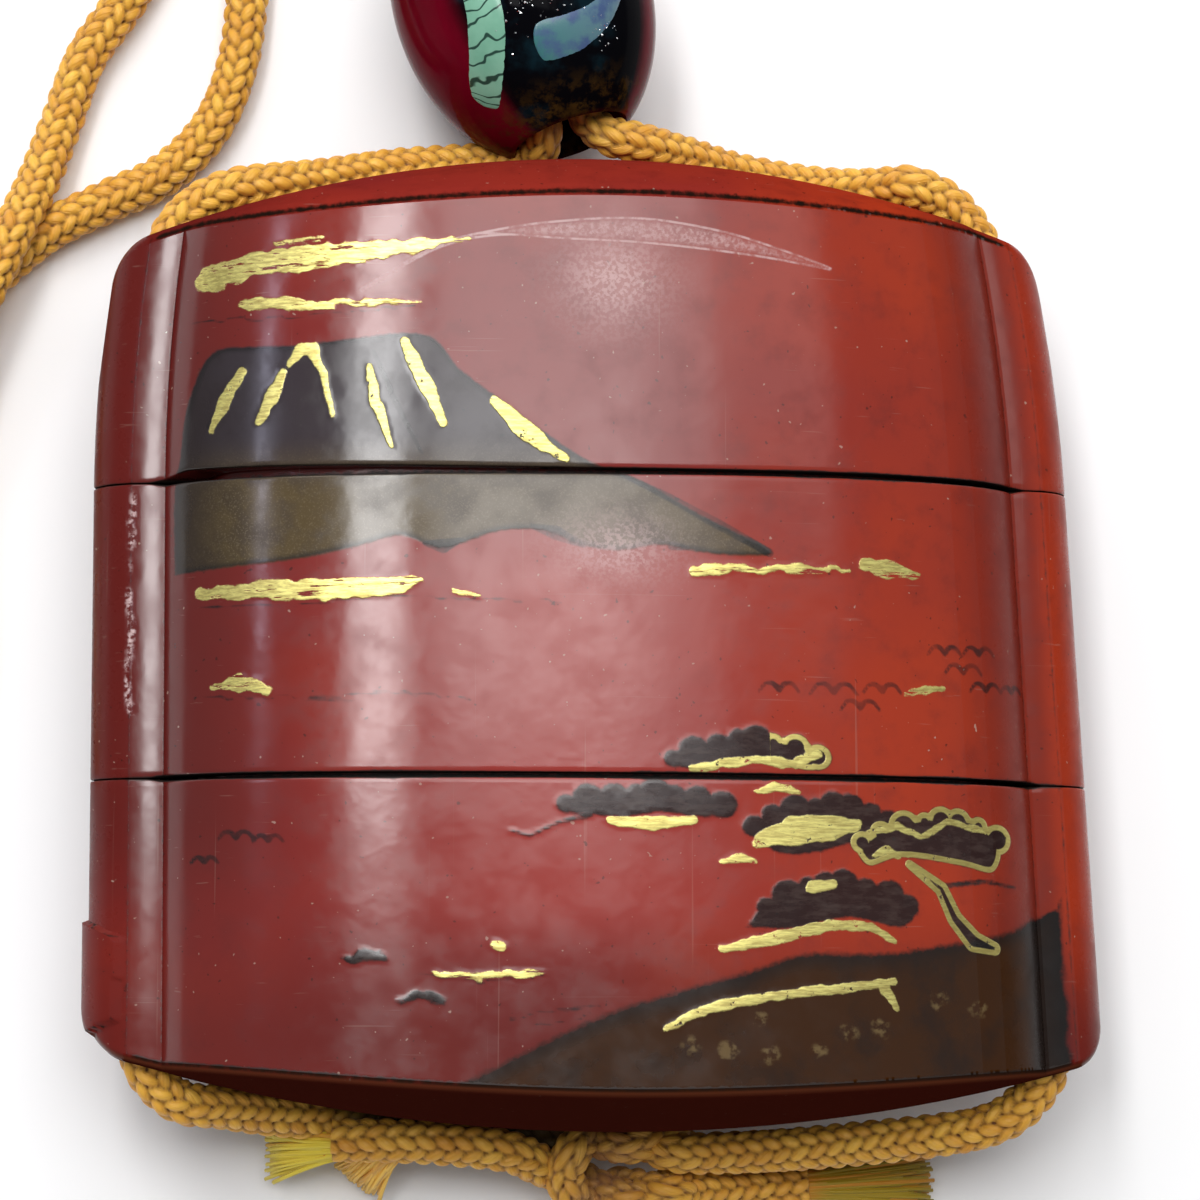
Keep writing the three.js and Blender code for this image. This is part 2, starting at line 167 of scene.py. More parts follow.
# Bead.
BEAD_CENTRE = np.array([-4.3, 48.3, 8.05])
BEAD_RADIUS = 7.9
BEAD_HALF_LENGTH = 10.6
BEAD_HOLE_AT = 9.2
BEAD_BORE = 3.0
BEAD_FLARE = 3.5
BEAD_FLARE_DEPTH = 2.0
BEAD_TURN = 18.0
CORD_IN_HOLE = 1.42  # each cord's distance from the middle of the hole
BEAD_LIFT = 8.0


# Points and curves

def even_points(points, step):
    """A polyline's points again, evenly spaced."""
    points = np.asarray(points, float)
    along = np.concatenate([[0], np.cumsum(np.linalg.norm(np.diff(points, axis=0), axis=1))])
    count = max(2, round(along[-1] / step) + 1)
    places = np.linspace(0, along[-1], count)
    return np.stack([np.interp(places, along, points[:, k]) for k in range(points.shape[1])], axis=1)


def smooth_line(route, samples=24):
    """A smooth curve through the route's points, as a fine polyline."""
    p = np.asarray(route, float)
    p = np.vstack([2 * p[0] - p[1], p, 2 * p[-1] - p[-2]])
    line = []
    for a, b, c, d in zip(p[:-3], p[1:-2], p[2:-1], p[3:]):
        k0 = math.sqrt(np.linalg.norm(b - a))
        k1 = math.sqrt(np.linalg.norm(c - b))
        k2 = math.sqrt(np.linalg.norm(d - c))
        start = ((b - a) / k0 - (c - a) / (k0 + k1) + (c - b) / k1) * k1
        end = ((c - b) / k1 - (d - b) / (k1 + k2) + (d - c) / k2) * k1
        t = np.linspace(0, 1, samples, endpoint=False)[:, None]
        bend = (2 * b - 2 * c + start + end) * t**3 + (3 * c - 3 * b - 2 * start - end) * t**2
        line.append(bend + start * t + b)
    return np.vstack(line + [p[-2:-1]])


def side_axes(line):
    """Two directions square to a line at each of its points, without twist."""
    along = np.gradient(line, axis=0)
    along /= np.linalg.norm(along, axis=1)[:, None]
    first = np.zeros_like(line)
    aside = np.array([0.0, 0.0, 1.0]) if abs(along[0][2]) < 0.9 else np.array([1.0, 0.0, 0.0])
    side = np.cross(along[0], aside)
    for i, t in enumerate(along):
        side = side - t * np.dot(side, t)
        side /= np.linalg.norm(side)
        first[i] = side
    return first, np.cross(along, first)


def grain(x, y, size, seed=0):
    """Smooth random values from 0 to 1, with lumps of a size."""
    x = np.asarray(x) / size
    y = np.asarray(y) / size
    ix = np.floor(x)
    iy = np.floor(y)
    fx = (x - ix) ** 2 * (3 - 2 * (x - ix))
    fy = (y - iy) ** 2 * (3 - 2 * (y - iy))

    def corner(a, b):
        value = np.sin(a * 12.9898 + b * 78.233 + seed * 37.719) * 43758.5453
        return value - np.floor(value)

    low = corner(ix, iy) * (1 - fx) + corner(ix + 1, iy) * fx
    high = corner(ix, iy + 1) * (1 - fx) + corner(ix + 1, iy + 1) * fx
    return low * (1 - fy) + high * fy


def ramp(value, start, end):
    """0 before start, 1 after end, smooth between them."""
    t = np.clip((np.asarray(value) - start) / (end - start), 0, 1)
    return t * t * (3 - 2 * t)


# Meshes

def make_object(name, points, faces, smooth=True):
    """A mesh object from points in the part's frame, in metres."""
    mesh = bpy.data.meshes.new(name)
    mesh.from_pydata(np.asarray(points).tolist(), [], faces)
    mesh.update()
    piece = bpy.data.objects.new(name, mesh)
    bpy.context.collection.objects.link(piece)
    if smooth:
        mesh.shade_smooth()
    return piece


def grid_faces(rows, columns):
    """Quads between neighbouring closed rows of points."""
    j, i = np.meshgrid(np.arange(rows - 1), np.arange(columns), indexing="ij")
    after = (i + 1) % columns
    low, high = j * columns, (j + 1) * columns
    quads = np.stack([low + i, high + i, high + after, low + after], -1)
    return quads.reshape(-1, 4)


def ring_solid(rings, start, end):
    """Points and faces of a closed skin over rings of points, with a fan at each end."""
    rings = np.asarray(rings)
    rows, columns = rings.shape[:2]
    points = np.vstack([rings.reshape(-1, 3), start, end])
    faces = grid_faces(rows, columns).tolist()
    first = rows * columns
    last = (rows - 1) * columns
    for i in range(columns):
        after = (i + 1) % columns
        faces.append((first, i, after))
        faces.append((first + 1, last + after, last + i))
    return points, faces


def to_part(points):
    """From the case's true shape to the part's frame, in metres: set out of true, then placed."""
    x, y, z = np.asarray(points, float).T
    placed = np.stack([x + LEAN * y, y + FAN * x * y, z + MIDDLE], axis=1)
    return (placed + CASE_ORIGIN) * MM


def route_to_part(points):
    return (np.asarray(points, float) + CASE_ORIGIN) * MM


def to_true(points):
    """The case's true shape, in millimetres, from the part's frame."""
    placed = np.asarray(points) / MM - CASE_ORIGIN
    x, y, z = placed.T
    true_x = x.copy()
    true_y = y.copy()
    for _ in range(6):
        true_y = y / (1 + FAN * true_x)
        true_x = x - LEAN * true_y
    return true_x, true_y, z - MIDDLE


def boolean(piece, cutter, operation):
    """Cuts or joins a solid and drops the cutter."""
    change = piece.modifiers.new("change", "BOOLEAN")
    change.operation = operation
    change.solver = "MANIFOLD"
    change.object = cutter
    shaped = bpy.data.meshes.new_from_object(piece.evaluated_get(bpy.context.evaluated_depsgraph_get()))
    piece.modifiers.clear()
    piece.data = shaped
    bpy.data.objects.remove(cutter)


def points_of(piece):
    flat = np.zeros(len(piece.data.vertices) * 3)
    piece.data.vertices.foreach_get("co", flat)
    return flat.reshape(-1, 3)


def set_points(piece, points):
    piece.data.vertices.foreach_set("co", np.ascontiguousarray(points, dtype=np.float32).ravel())
    piece.data.update()


def write_values(piece, name, values):
    """A number at every point, for the material to read."""
    layer = piece.data.attributes.new(name, "FLOAT", "POINT")
    layer.data.foreach_set("value", np.ascontiguousarray(values, dtype=np.float32))


# Case

def half_width_at(y):
    above = np.maximum(0, y - UPPER_SEAM) / LID_BOW_SPAN
    return HALF_WIDTH - SIDE_TAPER * y - LID_BOW * above**2


def crown_height(x):
    """Height of the oval body over its middle plane."""
    return HALF_THICKNESS * np.maximum(0, 1 - (np.abs(x) / BODY_REACH) ** BODY_POWER) ** (1 / BODY_POWER)


def body_arc(step):
    """The oval body from its right crease over the crown to its left crease."""
    start = math.asin((CREASE[1] / HALF_THICKNESS) ** (BODY_POWER / 2))
    angle = np.linspace(start, math.pi - start, 3001)
    x = BODY_REACH * np.sign(np.cos(angle)) * np.abs(np.cos(angle)) ** (2 / BODY_POWER)
    z = HALF_THICKNESS * np.sin(angle) ** (2 / BODY_POWER)
    return even_points(np.stack([x, z], axis=1), step)


def runner_curve():
    """The cord runner from the side of the case up to its crease."""
    t = np.linspace(0, 1, 200)[:, None]
    side, swell, arris = np.array([HALF_WIDTH, 0]), np.array(RUNNER_SWELL), np.array(ARRIS)
    curve = (1 - t) ** 2 * side + 2 * t * (1 - t) * swell + t**2 * arris
    outer = even_points(curve, RUNNER_STEP)
    out = np.linspace(ARRIS[0] - CREASE[0], 0, 40)
    fall = CREASE[1] - LEDGE_FALL[0] * out - LEDGE_FALL[1] * out**2
    ledge = even_points(np.stack([CREASE[0] + out, fall], axis=1), RUNNER_STEP)
    return np.vstack([outer, ledge[1:]])


def case_outline():
    """The case's section, anticlockwise from its right side over the front."""
    runner = runner_curve()
    left = runner[::-1] * [-1, 1]
    upper = np.vstack([runner, body_arc(FRONT_STEP)[1:-1], left])
    back = body_arc(BACK_STEP)[1:-1][::-1] * [1, -1]
    lower = np.vstack([runner[1:] * [-1, -1], back, runner[:0:-1] * [1, -1]])
    outline = np.vstack([upper, lower])
    outline[:, 1] = np.maximum(outline[:, 1], -BACK_FLAT_DEPTH)
    return outline


def drawn_inside(outline, distance):
    """The outline moved in by a small distance."""
    run = np.roll(outline, -1, axis=0) - np.roll(outline, 1, axis=0)
    run /= np.linalg.norm(run, axis=1)[:, None]
    inward = np.stack([-run[:, 1], run[:, 0]], axis=1)
    return outline + inward * distance


def ring_at(outline, y):
    y = np.broadcast_to(y, len(outline))
    return np.stack([outline[:, 0] * half_width_at(y) / HALF_WIDTH, y, outline[:, 1]], axis=1)


def dome_fall(dome, x, z):
    past = np.abs(x) - (dome["half_width"] - CORNER_RADIUS)
    rounded = np.clip(past, 0, CORNER_RADIUS)
    corner = CORNER_RADIUS - np.sqrt(CORNER_RADIUS**2 - rounded**2)
    beyond = np.maximum(0, past - CORNER_RADIUS) * CORNER_FALL
    bowl = dome["at_side"] * (x / HALF_WIDTH) ** 2 + dome["at_front"] * (z / HALF_THICKNESS) ** 2
    return bowl + corner + beyond


def dome_height(dome, apex, outline):
    """Height of a domed end over the outline's points."""
    y = np.full(len(outline), apex * 0.9)
    for _ in range(12):
        x = outline[:, 0] * half_width_at(y) / HALF_WIDTH
        y = apex - np.sign(apex) * dome_fall(dome, x, outline[:, 1])
    return y


def dome_rings(outline, dome, apex):
    """Rings from a domed end's rounded edge to its middle, and the middle point."""
    outward = np.sign(apex)
    rings = []
    for angle in np.linspace(0, math.pi / 2, 6):
        inner = drawn_inside(outline, END_ROUND * (1 - math.cos(angle)))
        drop = END_ROUND * (1 - math.sin(angle))
        rings.append(ring_at(inner, dome_height(dome, apex, inner) - outward * drop))
    inner = drawn_inside(outline, END_ROUND)
    for size in np.linspace(1, 0, DOME_RINGS)[1:-1]:
        rings.append(ring_at(inner * size, dome_height(dome, apex, inner * size)))
    return rings, [(0, apex, 0)]


def seam_rings(outline, y, outward):
    """Rings round a flat end's softened edge, and the middle point."""
    rings = []
    for angle in np.linspace(0, math.pi / 2, 4):
        inner = drawn_inside(outline, SEAM_ROUND * (1 - math.cos(angle)))
        rings.append(ring_at(inner, y - outward * SEAM_ROUND * (1 - math.sin(angle))))
    return rings, [(0, float(np.mean(y)), 0)]


def tier_block(name, lower_end, upper_end, outline):
    """A tier's solid block between its two ends."""
    low_rings, low_point = lower_end
    high_rings, high_point = upper_end
    low = low_rings[0][:, 1]
    high = high_rings[0][:, 1]
    rows = round(float(np.max(high - low)) / ROW_STEP)
    wall = [ring_at(outline, low + (high - low) * t) for t in np.linspace(0, 1, rows + 1)[1:-1]]
    points, faces = ring_solid([*low_rings[::-1], *wall, *high_rings], low_point, high_point)
    return make_object(name, to_part(points), faces)


def oval_prism(size, low, high):
    """An upright oval block, drawn in with the case's sides."""
    angle = np.linspace(0, 2 * math.pi, 144, endpoint=False)
    power = 2 / BODY_POWER
    x = size[0] * np.sign(np.cos(angle)) * np.abs(np.cos(angle)) ** power
    z = size[1] * np.sign(np.sin(angle)) * np.abs(np.sin(angle)) ** power
    outline = np.stack([x, z], axis=1)
    rings = [ring_at(outline, y) for y in np.linspace(low, high, 8)]
    points, faces = ring_solid(rings, [(0, low, 0)], [(0, high, 0)])
    return make_object("cutter", to_part(points), faces, smooth=False)


def inner_route(side, top, bottom):
    """The cord's way through one side of the case, from mouth to mouth."""
    y = np.array(CHANNEL_HEIGHTS)
    x = side * CHANNEL_X * half_width_at(y) / HALF_WIDTH
    within = np.stack([x + LEAN * y, y + FAN * x * y, np.full(len(y), MIDDLE)], axis=1)
    return [*top, *within.tolist(), *bottom]


LEFT_INNER_ROUTE = inner_route(-1, LEFT_INNER_TOP, LEFT_INNER_BOTTOM)
RIGHT_INNER_ROUTE = inner_route(1, RIGHT_INNER_TOP, RIGHT_INNER_BOTTOM)


def round_tube(name, line, radius, sides):
    """A plain closed tube along a line."""
    first, second = side_axes(line)
    angle = np.linspace(0, 2 * math.pi, sides, endpoint=False)
    radius = np.broadcast_to(radius, len(line))[:, None, None]
    spread = first[:, None] * np.cos(angle)[None, :, None] + second[:, None] * np.sin(angle)[None, :, None]
    points, faces = ring_solid(line[:, None] + radius * spread, line[:1], line[-1:])
    flipped = [face[::-1] for face in faces]
    return make_object(name, route_to_part(points), flipped)


def cut_runners(piece):
    """Opens the two cord runners."""
    for route in (LEFT_INNER_ROUTE, RIGHT_INNER_ROUTE):
        line = even_points(smooth_line(route), 0.5)
        boolean(piece, round_tube("cutter", line, CHANNEL_RADIUS, 28), "DIFFERENCE")


def lid_piece(outline):
    left = ramp(-outline[:, 0], -14, 27) * (1 - ramp(-outline[:, 0], 24.5, 26.8))
    low = UPPER_SEAM + SEAM_GAP / 2 + WORN_SEAM * left**2
    top = dome_rings(outline, TOP_DOME, TOP_APEX)
    lid = tier_block("lacquer_lid", seam_rings(outline, low, -1), top, outline)
    boolean(lid, oval_prism(SOCKET, UPPER_SEAM - OVERRUN, LID_CEILING), "DIFFERENCE")
    cut_runners(lid)
    return lid


def upper_case_piece(outline):
    low = SEAM_GAP / 2
    high = UPPER_SEAM - SEAM_GAP / 2
    socket_top = LIP_HEIGHT + LIP_ROOM
    bottom, top = seam_rings(outline, low, -1), seam_rings(outline, high, 1)
    case = tier_block("lacquer_upper_case", bottom, top, outline)
    boolean(case, oval_prism(LIP, high - OVERRUN, high + LIP_HEIGHT), "UNION")
    boolean(case, oval_prism(SOCKET, low - OVERRUN, socket_top), "DIFFERENCE")
    boolean(case, oval_prism(WELL, socket_top + FLOOR_THICKNESS, high + LIP_HEIGHT + OVERRUN), "DIFFERENCE")
    cut_runners(case)
    return case


def lower_case_piece(outline):
    high = -SEAM_GAP / 2
    bottom = dome_rings(outline, BOTTOM_DOME, BOTTOM_APEX)
    case = tier_block("lacquer_lower_case", bottom, seam_rings(outline, high, 1), outline)
    boolean(case, oval_prism(LIP, high - OVERRUN, high + LIP_HEIGHT), "UNION")
    boolean(case, oval_prism(WELL, LOWER_FLOOR, high + LIP_HEIGHT + OVERRUN), "DIFFERENCE")
    cut_runners(case)
    return case


# Painted picture: each function gives the distance in millimetres to a shape, negative inside it

FAR = 9.0


def stroke(x, y, points, width):
    """A brush stroke along points. Width may be one number or one for each point."""
    widths = np.broadcast_to(width, len(points))
    best = np.full(x.shape, FAR)
    for (ax, ay), (bx, by), aw, bw in zip(points[:-1], points[1:], widths[:-1], widths[1:]):
        dx, dy = bx - ax, by - ay
        t = np.clip(((x - ax) * dx + (y - ay) * dy) / (dx * dx + dy * dy), 0, 1)
        gap = np.hypot(x - ax - t * dx, y - ay - t * dy) - (aw + (bw - aw) * t) / 2
        best = np.minimum(best, gap)
    return best


def area(x, y, points):
    """A filled shape inside its corner points."""
    inside = np.zeros(x.shape, bool)
    edge = np.full(x.shape, FAR)
    for (ax, ay), (bx, by) in zip(points, [*points[1:], points[0]]):
        dx, dy = bx - ax, by - ay
        t = np.clip(((x - ax) * dx + (y - ay) * dy) / (dx * dx + dy * dy), 0, 1)
        edge = np.minimum(edge, np.hypot(x - ax - t * dx, y - ay - t * dy))
        if ay != by:
            crosses = (ay > y) != (by > y)
            inside ^= crosses & (x < dx * (y - ay) / dy + ax)
    return np.where(inside, -edge, edge)


def curve_area(x, y, points):
    """A filled shape with a smooth outline through its points."""
    closed = [(*p, 0.0) for p in [*points, points[0]]]
    outline = smooth_line(closed, 5)[:-1, :2]
    return area(x, y, [tuple(p) for p in outline])


def spot(x, y, centre, reach_x, reach_y):
    gap = np.hypot((x - centre[0]) / reach_x, (y - centre[1]) / reach_y) - 1
    return gap * min(reach_x, reach_y)


def joined(*shapes):
    return np.minimum.reduce(shapes)


# The picture's places on the front, from the case's axis and the lower seam.
MOUNTAIN = [
    (-24.9, 12.0), (-24.8, 17.1), (-24.5, 18.8), (-23.9, 22.3), (-22.5, 25.0), (-20.0, 25.15), (-17.6, 25.1),
    (-14.5, 25.4), (-10.2, 25.45), (-8.5, 23.5), (-6.2, 21.7), (-3.7, 19.8), (-1.1, 18.1), (1.8, 17.0),
    (5.2, 15.1),
    (9.4, 12.95), (7.2, 12.8), (5.2, 12.95), (2.8, 13.35), (0.5, 13.0), (-1.8, 13.3), (-3.8, 14.1),
    (-6.4, 14.1),
    (-9.9, 13.1), (-12.1, 13.85), (-14.4, 13.3), (-17.8, 12.6), (-21.2, 12.3),
]
SNOW = [
    ([(-20.9, 23.8), (-21.9, 22.1), (-22.7, 20.3)], [0.5, 0.75, 0.3]),
    ([(-18.5, 23.6), (-19.3, 22.0), (-20.0, 20.7)], [0.4, 0.8, 0.35]),
    ([(-18.2, 24.0), (-17.5, 24.9), (-16.9, 24.9), (-16.3, 23.4), (-15.8, 20.9)],
     [0.35, 0.75, 0.7, 0.4, 0.25]),
    ([(-13.7, 23.7), (-13.3, 21.5), (-12.5, 19.1)], [0.4, 0.65, 0.25]),
    ([(-11.6, 25.2), (-10.6, 22.9), (-9.5, 20.4)], [0.55, 0.95, 0.5]),
    ([(-6.5, 21.6), (-4.9, 20.0), (-2.5, 18.2)], [0.6, 1.15, 0.4]),
]
STONE_LINES = [
    ([(0.6, 17.45), (3.4, 16.1), (6.4, 14.5), (9.3, 12.95)], [0.25, 0.45, 0.6, 0.5]),
    ([(-10.8, 13.35), (-9.7, 13.2), (-8.5, 13.6)], [0.25, 0.85, 0.2]),
    ([(-4.6, 14.35), (-3.2, 13.95), (-1.6, 13.25)], [0.3, 0.85, 0.3]),
    ([(3.5, 13.25), (4.5, 13.15)], [0.5, 0.25]),
    ([(-13.4, 24.6), (-12.2, 21.6), (-10.8, 18.6)], [0.26, 0.36, 0.2]),
    ([(-20.9, 24.0), (-22.9, 20.6)], [0.24, 0.2]),
]
MIST = [
    ([(-22.6, 29.5), (-20.6, 29.9)], [1.5, 1.5]),
    ([(-20.2, 30.1), (-17.4, 30.3), (-14.5, 30.5), (-11.6, 30.7), (-7.8, 31.2)], [1.3, 1.5, 1.3, 0.8, 0.15]),
    ([(-18.8, 31.3), (-16.2, 31.5)], [0.25, 0.2]),
    ([(-20.5, 27.7), (-18.0, 27.7), (-15.8, 27.3)], [0.7, 0.8, 0.4]),
    ([(-16.4, 27.6), (-13.4, 27.5), (-10.6, 27.4)], [0.35, 0.4, 0.15]),
    ([(-23.5, 10.7), (-20.1, 10.8), (-16.2, 10.7), (-12.6, 10.8), (-10.9, 11.2)], [0.7, 1.0, 1.2, 1.1, 0.3]),
    ([(-9.2, 10.6), (-7.6, 10.4)], [0.25, 0.15]),
    ([(4.8, 11.8), (5.4, 11.8), (6.9, 12.0), (8.6, 11.85)], [0.8, 0.75, 0.45, 0.3]),
    ([(8.6, 11.9), (11.1, 12.1), (14.2, 12.1)], [0.25, 0.5, 0.2]),
    ([(15.0, 12.4), (16.4, 12.2), (18.2, 11.9)], [0.7, 1.25, 0.5]),
    ([(-22.8, 5.2), (-21.4, 5.4), (-19.8, 5.0)], [0.4, 1.0, 0.6]),
    ([(17.4, 5.0), (18.6, 5.2), (19.8, 5.5)], [0.25, 0.6, 0.2]),
    ([(-10.8, -11.35), (-8.2, -11.6), (-4.7, -11.3)], [0.25, 0.4, 0.35]),
]
THIN_LINES = [
    ([(-23.8, 9.9), (-18.0, 9.9), (-11.0, 10.3), (-3.0, 9.9)], 0.12),
    ([(-17.5, 4.5), (-12.9, 4.7), (-8.4, 4.4)], 0.14),
    ([(-24.0, 4.6), (-19.0, 4.5), (-15.0, 4.2)], 0.1),
    ([(-23.6, 26.9), (-18.0, 26.8), (-11.0, 27.2)], 0.12),
    ([(-11.7, -11.4), (-8.0, -11.9), (-4.2, -11.5)], 0.1),
]
BIRDS = [
    (9.6, 5.15, 1.2), (12.9, 5.1, 1.45), (15.9, 5.2, 1.2), (14.5, 4.2, 1.2), (20.0, 7.55, 1.1),
    (22.3, 7.6, 1.1),
    (21.2, 6.5, 1.25), (22.7, 5.5, 1.1), (24.6, 5.5, 0.8), (-21.8, -3.5, 1.0), (-20.0, -3.7, 0.85),
    (-23.6, -4.9, 0.75),
]
PINES = [
    [(2.6, 0.6), (3.6, 1.6), (4.8, 2.0), (6.6, 2.55), (8.4, 2.6), (10.8, 2.1), (12.0, 1.3), (11.8, 0.3),
     (9.5, 0.5),
     (7.6, 0.9), (5.8, 0.3), (4.2, 0.2)],
    [(-4.0, -1.8), (-2.5, -1.0), (0.1, -0.6), (3.6, -0.6), (6.2, -1.4), (5.5, -2.5), (2.3, -2.3), (0.2, -2.6),
     (-1.4, -2.5), (-3.0, -2.3)],
    [(7.3, -3.3), (8.5, -2.0), (10.6, -1.3), (13.6, -1.1), (15.8, -1.9), (15.4, -2.9), (13.4, -4.0),
     (9.3, -4.6)],
    [(13.6, -4.1), (14.8, -3.0), (16.7, -2.2), (19.9, -1.8), (22.3, -2.3), (23.5, -3.9), (22.8, -5.4),
     (20.5, -5.1),
     (16.6, -4.7), (14.6, -5.2)],
    [(6.8, -8.8), (8.0, -7.4), (10.5, -5.9), (13.5, -5.6), (16.2, -6.4), (17.6, -7.8), (16.8, -8.7),
     (13.4, -8.2),
     (11.4, -8.6), (9.8, -8.9)],
]
PINE_GOLD = [
    ([(4.3, 0.4), (6.4, 0.75), (8.3, 1.0), (10.4, 0.7), (11.7, 1.4)], [0.5, 0.5, 0.4, 0.6, 0.5]),
    ([(-0.5, -2.6), (1.8, -2.8), (4.3, -2.5)], [0.5, 0.75, 0.5]),
    ([(8.0, -3.7), (10.0, -3.1), (12.4, -2.9), (14.0, -2.7)], [0.7, 1.7, 1.5, 0.6]),
    ([(8.0, -0.9), (9.2, -0.55), (10.6, -0.9)], [0.3, 0.5, 0.3]),
    ([(5.9, -4.9), (7.0, -4.7), (7.8, -4.9)], [0.25, 0.45, 0.25]),
    ([(5.7, -9.9), (8.6, -9.3), (12.2, -8.5), (14.6, -8.5), (16.1, -9.4)], [0.4, 0.7, 0.6, 0.55, 0.3]),
    ([(11.2, -6.3), (12.3, -6.1)], [0.7, 0.6]),
    ([(14.6, -3.2), (16.6, -2.7), (18.0, -3.3), (19.8, -2.4), (22.2, -2.9)], [0.25, 0.4, 0.3, 0.4, 0.25]),
    ([(15.0, -4.4), (15.9, -4.1), (16.6, -4.5)], [0.3, 0.6, 0.3]),
]
TRUNK = ([(17.2, -4.9), (19.2, -6.3), (20.0, -8.0), (21.2, -9.3), (22.6, -9.7)], [0.5, 0.85, 1.0, 1.25, 0.8])
BRANCHES = [
    ([(19.4, -6.1), (22.1, -5.8), (24.2, -6.1)], [0.3, 0.25, 0.15]),
    ([(-6.4, -3.2), (-5.2, -3.5), (-3.4, -2.7), (-1.7, -2.3)], [0.12, 0.15, 0.2, 0.3]),
]
HILL = [
    (-10.7, -18.3), (-7.2, -16.6), (-3.8, -14.9), (-0.3, -13.4), (4.4, -12.0), (7.9, -11.0), (10.3, -10.2),
    (15.2, -10.1), (19.6, -9.5), (23.5, -8.8), (27.4, -7.6), (27.4, -20.0), (10.0, -20.0), (-6.0, -19.4),
]
HILL_GOLD = [
    ([(2.3, -14.5), (3.7, -13.7), (5.5, -13.1), (9.0, -12.5), (12.7, -12.1), (16.0, -11.7)],
     [0.35, 0.5, 0.6, 0.5, 0.6, 0.4]),
    ([(15.3, -11.9), (16.1, -13.2)], [0.7, 0.35]),
]
HILL_DOTS = [(3.7, -15.4), (5.9, -15.7), (7.8, -13.9), (8.4, -15.9), (11.3, -15.6), (13.2, -14.6),
             (15.0, -14.4),
             (18.8, -12.7), (21.4, -13.2)]
BOATS = [
    ([(-15.7, -10.6), (-14.7, -10.4), (-13.8, -10.5)], [0.5, 0.8, 0.5]),
    ([(-12.8, -13.0), (-11.7, -12.55), (-10.2, -13.0)], [0.35, 0.6, 0.3]),
]
REEDS = [
    ([(-6.6, -14.0), (-4.3, -13.5), (-1.4, -13.2)], 0.14),
    ([(-5.4, -14.4), (-3.8, -14.2), (-2.0, -13.7)], 0.12),
]
SCUFF = (
    [(-14.0, 28.25), (-9.4, 30.8), (-6.0, 31.55), (-2.4, 31.7), (2.2, 31.7), (7.0, 31.15), (10.6, 30.45),
     (13.6, 29.75)],
    [0.12, 0.16, 0.32, 1.0, 1.4, 1.15, 0.6, 0.1],
)
GLOW_PLACES = [(0.2, 13.2, 2.8, 1.7), (0.6, 28.8, 2.6, 2.3)]
FRAGMENT = [(-31.5, -8.0), (-30.3, -8.4), (-28.3, -9.5), (-28.5, -12.0), (-28.7, -14.2), (-31.5, -15.6)]
BIRD_WING = [(0, -0.12), (0.3, 0.2), (0.65, 0.2), (1, -0.2)]  # out from the body and up, in wing lengths
MIST_OF_BACK = [
    ([(-14.0, 24.0), (-9.0, 24.4), (-3.0, 24.1)], [0.4, 1.1, 0.4]),
    ([(2.0, 7.0), (8.0, 7.3), (15.0, 7.1)], [0.3, 1.0, 0.4]),
    ([(-18.0, -8.0), (-12.0, -7.7), (-6.0, -8.0)], [0.3, 0.9, 0.3]),
]


def bird(x, y, place):
    """Two arched wing strokes that meet."""
    cx, cy, size = place
    best = np.full(x.shape, FAR)
    for side in (-1, 1):
        wing = smooth_line([(cx + side * size * across, cy + size * up, 0) for across, up in BIRD_WING], 4)
        best = np.minimum(best, stroke(x, y, wing[:, :2].tolist(), np.linspace(0.34, 0.2, len(wing))))
    return best


def strokes(x, y, many):
    return joined(*[stroke(x, y, points, width) for points, width in many])


def cushion(x, y, points):
    """A pine cushion with round lobes along its upper edge."""
    body = curve_area(x, y, points) + 0.2
    outline = even_points(smooth_line([(*p, 0.0) for p in [*points, points[0]]], 6), 1.25)
    middle = np.mean(points, axis=0)[1]
    lobes = []
    for number, (px, py, _) in enumerate(outline):
        size = 0.78 + 0.2 * math.sin(2.4 * number + points[0][0])
        if py > middle:
            lobes.append(spot(x, y, (px + 0.2 * math.sin(5 * number), py - 0.5), size, 0.9 * size))
    return joined(body, *lobes)


def paint_front(x, y):
    """Distances to the painted shapes of the front."""
    loose_x = x + 0.4 * (grain(x, y, 0.6, 1) - 0.5)
    loose_y = y + 0.34 * (grain(x, y, 0.55, 2) - 0.5)
    close_x = x + 0.16 * (grain(x, y, 0.5, 3) - 0.5)
    close_y = y + 0.16 * (grain(x, y, 0.5, 4) - 0.5)
    cushions = [cushion(x, y, p) for p in PINES]
    birds = [bird(x, y, p) for p in BIRDS]
    return {
        "gold": strokes(loose_x, loose_y, MIST),
        "leaf": joined(
            strokes(close_x, close_y, SNOW),
            strokes(loose_x, close_y, PINE_GOLD),
            strokes(close_x, close_y, HILL_GOLD),
            spot(loose_x, loose_y, (-7.1, -9.8), 0.5, 0.3),
        ),
        "lined": joined(cushions[3], stroke(x, y, *TRUNK), np.where(x > 8.8, cushions[0], FAR)),
        "black": joined(*cushions, strokes(x, y, BRANCHES), strokes(loose_x, loose_y, BOATS)),
        "faint": joined(strokes(x, loose_y, THIN_LINES + REEDS), strokes(x, y, STONE_LINES), *birds),
        "hill": curve_area(x, y, HILL),
        "pale": joined(*[spot(loose_x, loose_y, p, 0.55, 0.45) for p in HILL_DOTS]),
        "stone": curve_area(x, y, MOUNTAIN),
    }


def paint_back(x, y):
    """The plainer picture of the back: bars of mist and a few birds."""
    places = [(-6.0, 15.0, 0.9), (-3.6, 16.2, 0.8), (11.0, -3.0, 0.9), (13.0, -2.2, 0.7)]
    loose_y = y + 0.3 * (grain(x, y, 0.6, 5) - 0.5)
    return {"gold": strokes(x, loose_y, MIST_OF_BACK), "faint": joined(*[bird(x, y, p) for p in places])}


